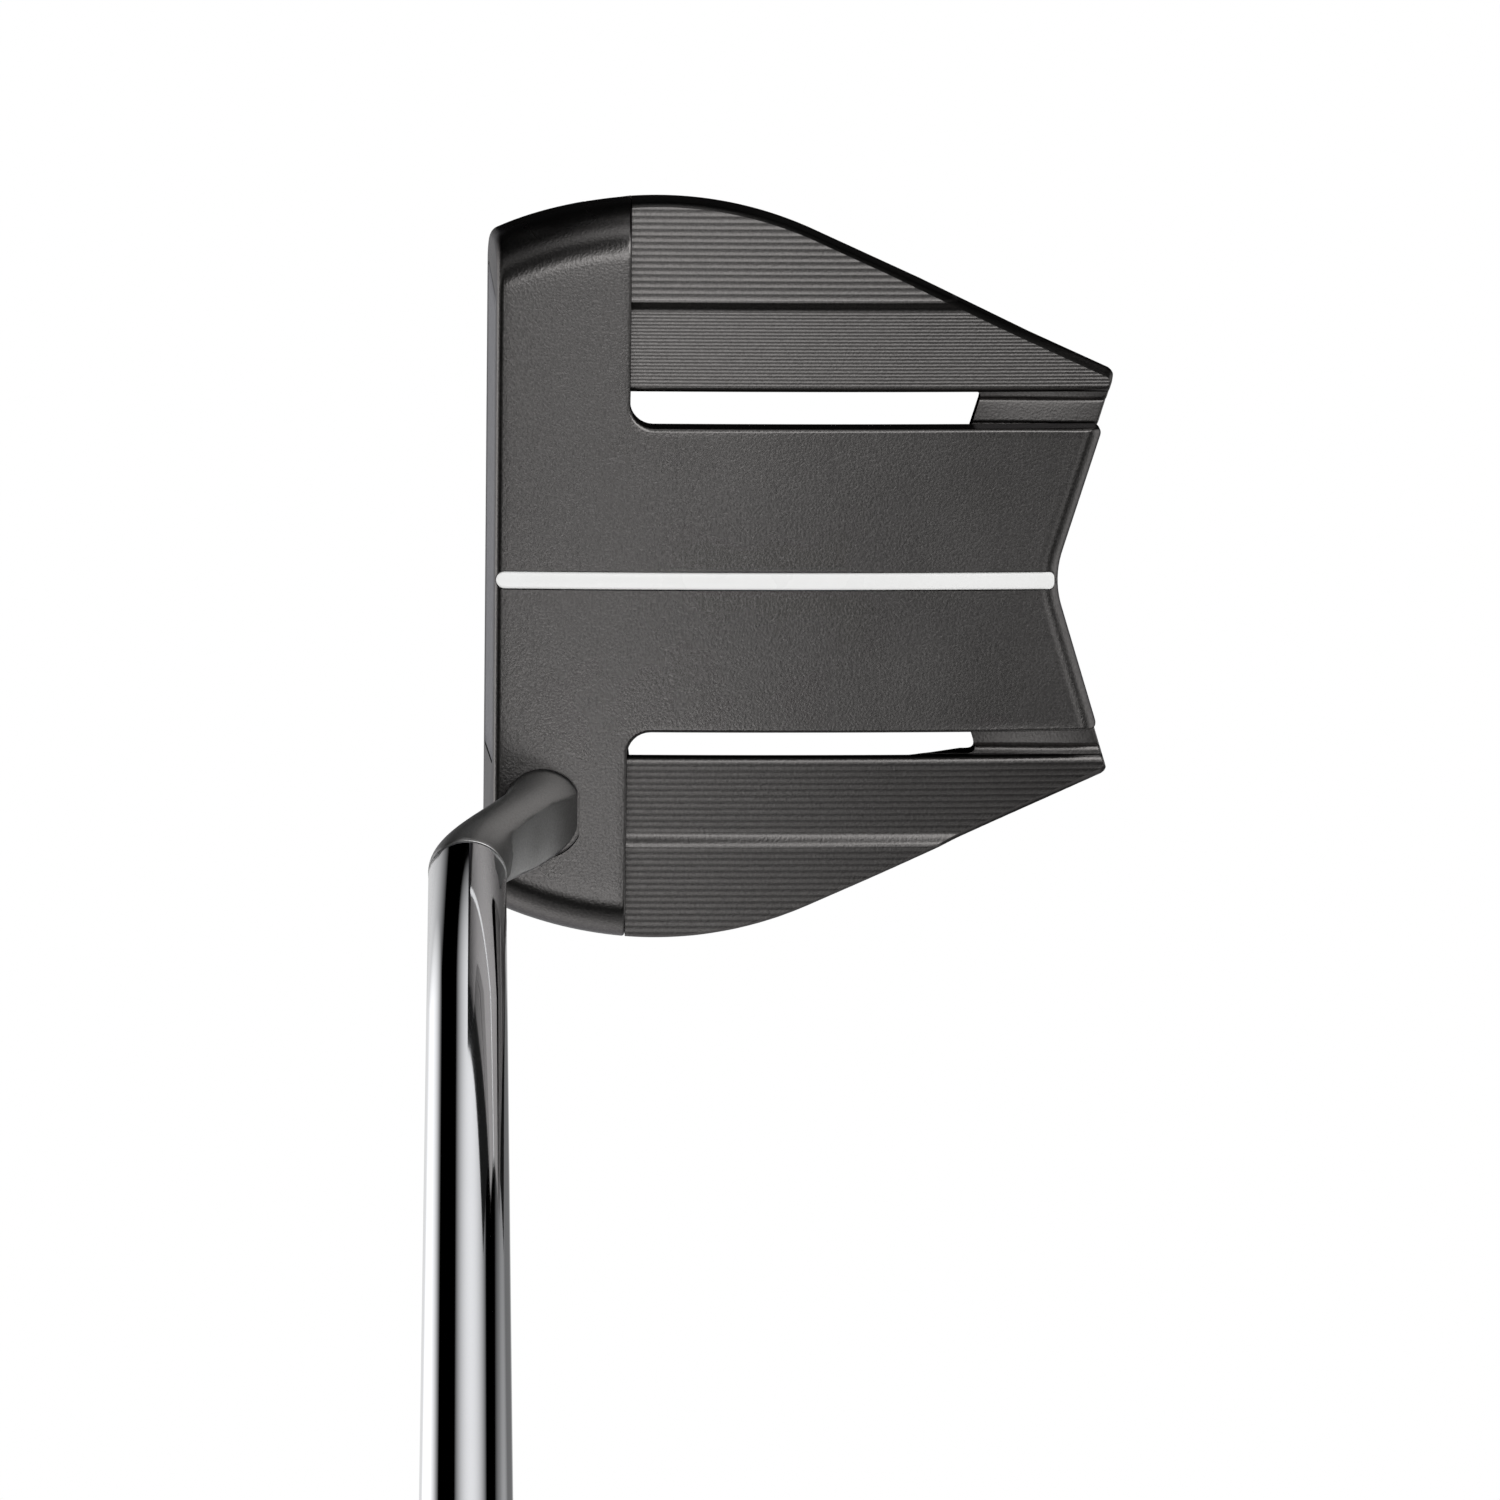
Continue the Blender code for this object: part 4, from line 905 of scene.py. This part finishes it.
def makeWingFrame():
    # a skin over sections across the head, closed at the back by a ladder of faces, then all cuts
    stations, fall = wingStations()
    heelX, heelY, heelZ, heelTop, heelBelly = wingHalf(1, stations, fall)
    toeX, toeY, toeZ, toeTop, toeBelly = wingHalf(-1, stations, fall)
    rings = toWorld(*[np.concatenate([heel, toe[:, -2:0:-1]], 1)
                      for heel, toe in ((heelX, toeX), (heelY, toeY), (heelZ, toeZ))])
    ringSize = rings.shape[1]
    last = (len(rings) - 1) * ringSize
    lastToe = heelX.shape[1] + toeX.shape[1] - 2
    closing = ladder(heelX[-1], heelTop, heelBelly, lambda i: last + i)
    closing += ladder(-toeX[-1], toeTop, toeBelly, lambda i: last + (lastToe - i) % ringSize)
    body = buildPiece("wingFrame", [gridPatch(rings, False, True)], (rings[0],), closing, merge=3e-6)
    cutters = []
    for side, label in ((1, "Heel"), (-1, "Toe")):
        cutters += [slotCutter(side, label), underCutter(side, label)]
        for name, x, y, (radius, top) in (
                ("boreCutter", cuts["weightX"], cuts["weightY"], cuts["weightBore"]),
                ("holeCutter", cuts["weightX"], cuts["weightY"], cuts["weightHole"]),
                ("barScrewCutter", cuts["barScrewX"], cuts["barScrewY"], cuts["barScrewHole"])):
            cutters.append(prismPiece(name + label, discLoop(side * x, y, radius), -3.0, top))
    gap = cuts["soleGap"]
    half, corner = cuts["soleHalf"] + gap, cuts["soleCorner"] + gap
    soleLoop = roundedLoop(-half, half, head["soleFront"] - gap, cuts["soleBack"] + gap, corner)
    cutters.append(prismPiece("soleCutter", soleLoop, -3.0, cuts["soleTop"]))
    for number, y in enumerate(cuts["crownScrewY"], 1):
        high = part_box("crown_screw_" + str(number))[0].z * 1000 + cuts["crownScrewHead"]
        cutters.append(prismPiece("screwCutter" + str(number), discLoop(0.0, y, cuts["crownScrewRadius"]),
                                  -3.0, high))
    carve(body, cutters)
    return place(body, "wings", "frame_alloy", "wing_frame")


makeWingFrame()
print("wing frame made")


# shaft: its axis meets the ground at groundX, and distances along it start there
shaftLine = {
    "groundX": 12.2, "y": -3.4, "lean": math.radians(20.0), "shoulder": 54.0 / math.cos(math.radians(20.0)),
    "tipRadius": 4.9, "buttRadius": 7.5, "butt": 885.0, "length": 889.0, "wall": 0.55,
    "gap": 0.15, "mouthRound": 0.25,
}


def onAxis(x, y, along):
    # from the shaft's own frame to the head's: a lean about Y from where the axis meets the ground
    c, s = math.cos(shaftLine["lean"]), math.sin(shaftLine["lean"])
    return shaftLine["groundX"] + x * c + along * s, shaftLine["y"] + y, -x * s + along * c


def makeNeck():
    # sections from the foot in the crown's pocket to a circle under the shaft: the foot's
    # straight back carries on up the neck as a flat and dies out under the shoulder
    turns = np.linspace(0, 2 * pi, 121)[:-1]
    end = shaftLine["shoulder"] + neck["shoulderMore"]
    base = np.array([neck["x"], neck["y"], neckFloor + 0.02])
    top = np.array(onAxis(0.0, 0.0, end - 0.5))
    share = np.linspace(0, 1, 48)[:, None]
    ease = smooth(0.0, 1.0, share)
    middle = [base[k] + (top[k] - base[k]) * (ease if k == 1 else share) for k in range(3)]
    radius = neck["radius"] + (neck["shoulderRadius"] - neck["radius"]) * ease
    flat = neck["flat"] - neck["flatDeeper"] * smooth(0.0, 0.45, share)
    flat = flat + neck["flatFade"] * smooth(0.72, 0.86, share)
    facing = math.radians(90) - neck["flatTurn"] * smooth(0.0, 0.8, share)
    x = radius * np.cos(turns) + neck["heelExtra"] * (1 - ease) * np.maximum(np.cos(turns), 0.0)
    y = radius * np.sin(turns)
    over = np.maximum(x * np.cos(facing) + y * np.sin(facing) - flat, 0.0)
    x, y = x - over * np.cos(facing), y - over * np.sin(facing)
    lean = shaftLine["lean"] * smooth(0.1, 1.0, share)
    body = toWorld(middle[0] + x * np.cos(lean), middle[1] + y, middle[2] - x * np.sin(lean))
    r = neck["pegRadius"]
    peg = [toWorld(base[0] + r * np.cos(turns), base[1] + r * np.sin(turns), base[2] - deep)
           for deep in (neck["pegLength"], 0.0)]
    post = [toWorld(*onAxis(r * np.cos(turns), r * np.sin(turns), end + along))
            for r, along in ((neck["shoulderRadius"], -0.05),) + neck["post"]]
    rings = np.concatenate([np.stack(peg), body, np.stack(post)])
    return place(loftPiece("bentNeck", rings, sharpAngle=24.0), "neck", "neck_steel", "neck")


makeNeck()


def shaftRadius(along):
    # one even taper from tip to butt
    start = shaftLine["shoulder"] + 0.3
    share = (along - start) / (shaftLine["butt"] - start)
    return shaftLine["tipRadius"] + (shaftLine["buttRadius"] - shaftLine["tipRadius"]) * share


def turnedOnAxis(name, section, steps, closeRows=True):
    # a section of (radius, distance) turned about the shaft's axis
    turns = np.arange(steps) * 2 * pi / steps
    radius, along = np.array(section).T
    x, y, z = onAxis(radius[:, None] * np.cos(turns), radius[:, None] * np.sin(turns), along[:, None])
    return loftPiece(name, toWorld(x, y, z), closeRows)


def makeShaft():
    # a tube: its tapered outside with a round mouth, and its bore a wall's thickness inside
    tip = shaftLine["shoulder"] + neck["shoulderMore"] + shaftLine["gap"]
    butt, wall, r = shaftLine["butt"], shaftLine["wall"], shaftLine["mouthRound"]
    outer = [(shaftRadius(tip) - r, tip), (shaftRadius(tip) - 0.07, tip + 0.07)]
    outer += [(shaftRadius(a), a) for a in np.linspace(tip + r, butt - 0.2, 24)]
    inner = [(shaftRadius(a) - wall, a) for a in (butt, (tip + butt) / 2, tip)]
    return place(turnedOnAxis("chromedShaft", outer + inner, 128), "chrome", "shaft_chrome", "shaft")


gripShape = {
    "length": 267.0, "buttHalf": 14.6, "buttFlat": 11.6, "mouthWall": 2.0, "mouthFlatWall": 1.4,
    "boreGap": 1.1, "swell": 1.3, "cornerPower": 12.0,
    "ribStep": 4.2, "ribDepth": 0.28, "plainMouth": (22.0, 30.0), "plainButt": (22.0, 14.0), "capLap": 2.3,
}


def gripReach(along, turns, inset):
    # radius of the grip: a circle with one flat side, joined by a smooth minimum
    mouth = shaftLine["length"] - gripShape["length"]
    share = np.clip((along - mouth) / gripShape["length"], 0, 1) ** gripShape["swell"]
    bore = shaftRadius(mouth) + gripShape["boreGap"]
    thick, thin = bore + gripShape["mouthWall"], bore + gripShape["mouthFlatWall"]
    radius = thick + (gripShape["buttHalf"] - thick) * share
    flat = thin + (gripShape["buttFlat"] - thin) * share
    side = np.maximum(-np.cos(turns), 1e-3)
    power = gripShape["cornerPower"]
    return ((radius - inset) ** -power + ((flat - inset) / side) ** -power) ** (-1 / power)


def makeGrip():
    # outside with shallow slanted grooves pressed into its round side, a high power of a cosine,
    # and a plain bore
    turns = np.arange(160)[None, :] * 2 * pi / 160
    mouth = shaftLine["length"] - gripShape["length"]
    top = shaftLine["length"] - gripShape["capLap"]
    along = np.concatenate([mouth + np.array([0.0, 0.1, 0.3, 0.6, 1.0]), np.linspace(mouth + 2, top, 420)])
    along = along[:, None]
    lip = 1.0 - np.sqrt(np.maximum(1 - (1 - (along - mouth)) ** 2, 0))
    reach = gripReach(along, turns, np.where(along < mouth + 1.0, lip, 0.0))
    wave = np.maximum(np.cos(2 * pi * (along / gripShape["ribStep"]) + 2 * np.cos(turns)), 0.0) ** 6
    start, full = gripShape["plainMouth"]
    fade, none = gripShape["plainButt"]
    where = smooth(-0.55, -0.3, np.cos(turns)) * smooth(mouth + start, mouth + full, along) \
        * (1 - smooth(top - fade, top - none, along))
    reach = reach - gripShape["ribDepth"] * wave * where
    outside = toWorld(*onAxis(reach * np.cos(turns), reach * np.sin(turns), along))
    ends = np.array([top, mouth])[:, None]
    bore = shaftRadius(ends) + gripShape["boreGap"]
    inside = toWorld(*onAxis(bore * np.cos(turns), bore * np.sin(turns), ends))
    grip = loftPiece("ribbedGrip", np.concatenate([outside, inside]), True)
    return place(grip, "grip", "grip_rubber", "grip")


# grip's end cap: the plug's radii and depths, the flange's, and the dish's shares of the rim and depths
capShape = {
    "plug": ((1.0, 11.0), (6.15, 11.0), (6.65, 10.5), (6.65, 2.0)), "flange": 2.0, "round": 0.8, "rim": 2.2,
    "dish": ((1.0, 0.0), (0.97, 0.25), (0.9, 0.32), (0.3, 0.32)), "vent": ((1.2, 0.32), (1.0, 0.6)),
}


def makeCap():
    # rings round a plug, a round-edged flange with the grip's outline, a shallow dish and a vent hole
    turns = np.arange(128) * 2 * pi / 128
    length, r = shaftLine["length"], capShape["round"]
    rings = list(capShape["plug"])
    rings.append((gripReach(length, turns, 0.0), capShape["flange"]))
    for a in np.linspace(0, pi / 2, 8):
        rings.append((gripReach(length, turns, r * (1 - math.cos(a))), r - r * math.sin(a)))
    rim = gripReach(length, turns, capShape["rim"])
    rings += [(rim * share, sink) for share, sink in capShape["dish"]]
    rings += capShape["vent"]
    points = np.stack([toWorld(*onAxis(reach * np.cos(turns), reach * np.sin(turns), length - sink))
                       for reach, sink in rings])
    return place(loftPiece("gripCap", points, True), "grip", "grip_rubber", "grip_end_cap")


makeShaft()
makeGrip()
makeCap()
print("neck, shaft and grip made")


# CAD pieces that stay, with better materials
kept = {"sole": ["sole_plate"], "seal": ["insert_pad", "weight_washer_toe", "weight_washer_heel"],
        "weight": ["sole_weight_toe", "sole_weight_heel"], "tape": ["grip_tape"],
        "screw": ["neck_bolt", "bar_screw_toe", "bar_screw_heel"]
        + ["sole_screw_" + str(n) for n in (1, 2, 3, 4)] + ["crown_screw_" + str(n) for n in (1, 2, 3)]}
for look, names in kept.items():
    for name in names:
        giveLook(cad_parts[name], look)


# floor, light and camera, in metres
studio = {
    "floorHalf": 6.0, "floorLevel": -0.0006, "shadeSheetLevel": -0.0003,
    "lens": 235.2,
    "cameraPlace": (-0.187871, -0.041771, 1.273341),
    "cameraTurn": (-9.5571, -1.7233, 90.6963),
    # dim wall round the horizon: height of the direction, and brightness
    "horizon": ((-1.0, 0.0), (-0.2, 0.0), (0.0, 0.14), (0.15, 0.26), (0.3, 0.13), (0.42, 0.02), (1.0, 0.02)),
    # soft round cards far away: direction, cosine at their rim, cosine where they are full, strength
    "cards": {
        "ceiling": ((0.08, -0.04, 0.99), 0.90, 1.0, 0.17),
        "overToe": ((-0.25, 0.02, 0.97), 0.955, 0.99, 1.5),
        "overHeel": ((0.42, 0.0, 0.91), 0.968, 0.99, 0.8),
        "overBack": ((0.16, 0.62, 0.77), 0.965, 0.985, 0.5),
        "highBack": ((-0.52, 0.50, 0.69), 0.88, 0.95, 2.5),
        "toeSide": ((-0.99, 0.05, 0.10), 0.93, 0.985, 0.55),
        "faceLow": ((0.1, -0.82, -0.56), 0.80, 0.92, 1.2),
        "faceBelow": ((0.5, -0.5, -0.7), 0.62, 0.87, 0.8),
        "backLow": ((0.0, 0.90, -0.43), 0.80, 0.92, 0.75),
        "backBelow": ((0.5, 0.55, -0.67), 0.70, 0.80, 0.17),
        "heelLow": ((0.85, 0.0, -0.53), 0.80, 0.95, 0.45),
        "shaftCard": ((-0.78, 0.10, -0.62), 0.93, 1.0, 0.95),
    },
    # strip lights close above: x and y of the middle, size along x and y, height, brightness
    "strips": {
        "toeStrip": ((-0.102, -0.003), (0.200, 0.055), 0.42, 1.25),
        "heelStrip": ((0.144, -0.028), (0.080, 0.085), 0.42, 1.65),
    },
}


def makeFloor():
    # pale paper, evenly lit so that it stays plain
    mesh = bpy.data.meshes.new("paleFloor")
    half, level = studio["floorHalf"], studio["floorLevel"]
    corners = [(-half, -half, level), (half, -half, level), (half, half, level), (-half, half, level)]
    mesh.from_pydata(corners, [], [(0, 1, 2, 3)])
    floor = bpy.data.objects.new("paleFloor", mesh)
    stage.collection.objects.link(floor)
    material = bpy.data.materials.new("whitePaper")
    material.use_nodes = True
    tree = material.node_tree
    tree.nodes.clear()
    glow = addNode(tree, "ShaderNodeEmission", {"Color": (1, 1, 1, 1), "Strength": 1.0})
    addNode(tree, "ShaderNodeOutputMaterial", {"Surface": glow.outputs[0]})
    mesh.materials.append(material)
    floor.visible_glossy = False
    floor.visible_diffuse = False


def makeStrips():
    # radiance of an area light is its power over pi times its area
    for name, (spot, size, height, bright) in studio["strips"].items():
        data = bpy.data.lights.new(name, "AREA")
        data.shape = "RECTANGLE"
        data.size, data.size_y = size
        data.energy = bright * pi * size[0] * size[1]
        strip = bpy.data.objects.new(name, data)
        strip.location = (spot[0], spot[1], height)
        strip.visible_camera = False
        stage.collection.objects.link(strip)


def makePaintedShadeSheet():
    # painted shade: a dark sheet under the head, seen only in reflections, standing in for the head's own
    # shade on the floor
    low, high = crownBox[0].x - 0.037, crownBox[1].x + 0.0015
    front, back = faceShift * 0.001 - 0.0015, soleBox[1].y + 0.026
    level = studio["shadeSheetLevel"]
    mesh = bpy.data.meshes.new("paintedShadeSheet")
    corners = [(low, front, level), (high, front, level), (high, back, level), (low, back, level)]
    mesh.from_pydata(corners, [], [(0, 1, 2, 3)])
    shadeSheet = bpy.data.objects.new("paintedShadeSheet", mesh)
    stage.collection.objects.link(shadeSheet)
    # its near-black colour is painted shade, not a real mat
    mesh.materials.append(mottled("paintedShadeColour", "#050505", 1.0, 0.0, 0.05, 0.05, 200.0))
    shadeSheet.visible_camera = False
    shadeSheet.visible_diffuse = False
    shadeSheet.visible_shadow = False


def makeWorld():
    # what the metal mirrors: a dim wall round the horizon and soft cards; matt things get even light
    world = bpy.data.worlds.new("softStudio")
    stage.world = world
    world.use_nodes = True
    tree = world.node_tree
    tree.nodes.clear()
    direction = addNode(tree, "ShaderNodeTexCoord").outputs["Generated"]
    split = addNode(tree, "ShaderNodeSeparateXYZ", {"Vector": direction})
    height = addNode(tree, "ShaderNodeMapRange", {"Value": split.outputs["Z"], "From Min": -1.0,
                                                  "From Max": 1.0})
    ramp = addNode(tree, "ShaderNodeValToRGB", {"Fac": height.outputs["Result"]})
    elements = ramp.color_ramp.elements
    while len(elements) > 1:
        elements.remove(elements[-1])
    elements[0].position = 0.0
    elements[0].color = (0, 0, 0, 1)
    for z, value in studio["horizon"][1:]:
        elements.new((z + 1) / 2).color = (value, value, value, 1.0)
    total = ramp.outputs["Color"]
    for direct, rim, full, strength in studio["cards"].values():
        axis = Vector(direct).normalized()
        dot = addNode(tree, "ShaderNodeVectorMath", {0: direction, 1: axis}, operation="DOT_PRODUCT")
        card = addNode(tree, "ShaderNodeMapRange", {"Value": dot.outputs["Value"], "From Min": rim,
                                                    "From Max": full, "To Min": 0.0, "To Max": strength})
        total = addNode(tree, "ShaderNodeVectorMath", {0: total, 1: card.outputs["Result"]},
                        operation="ADD").outputs["Vector"]
    mirrored = addNode(tree, "ShaderNodeBackground", {"Color": total, "Strength": 1.0})
    even = addNode(tree, "ShaderNodeMapRange", {"Value": split.outputs["Z"], "From Min": -1.0,
                                                "From Max": 1.0, "To Min": 0.5, "To Max": 0.98})
    diffuse = addNode(tree, "ShaderNodeBackground", {"Color": (1, 1, 1, 1), "Strength": even.outputs[0]})
    white = addNode(tree, "ShaderNodeBackground", {"Color": (1, 1, 1, 1), "Strength": 1.0})
    path = addNode(tree, "ShaderNodeLightPath")
    soft = addNode(tree, "ShaderNodeMixShader", {0: path.outputs["Is Diffuse Ray"], 1: mirrored.outputs[0],
                                                 2: diffuse.outputs[0]})
    pick = addNode(tree, "ShaderNodeMixShader", {0: path.outputs["Is Camera Ray"], 1: soft.outputs[0],
                                                 2: white.outputs[0]})
    addNode(tree, "ShaderNodeOutputWorld", {"Surface": pick.outputs[0]})


def makeCamera():
    # a long lens high above the head, a little toward the toe
    data = bpy.data.cameras.new("addressView")
    camera = bpy.data.objects.new("addressView", data)
    stage.collection.objects.link(camera)
    data.lens = studio["lens"]
    data.sensor_width = 36.0
    data.clip_start = 0.01
    camera.location = studio["cameraPlace"]
    camera.rotation_euler = [math.radians(a) for a in studio["cameraTurn"]]
    stage.camera = camera


makeFloor()
makePaintedShadeSheet()
makeStrips()
makeWorld()
makeCamera()
stage.view_settings.view_transform = "Standard"
print("studio made")
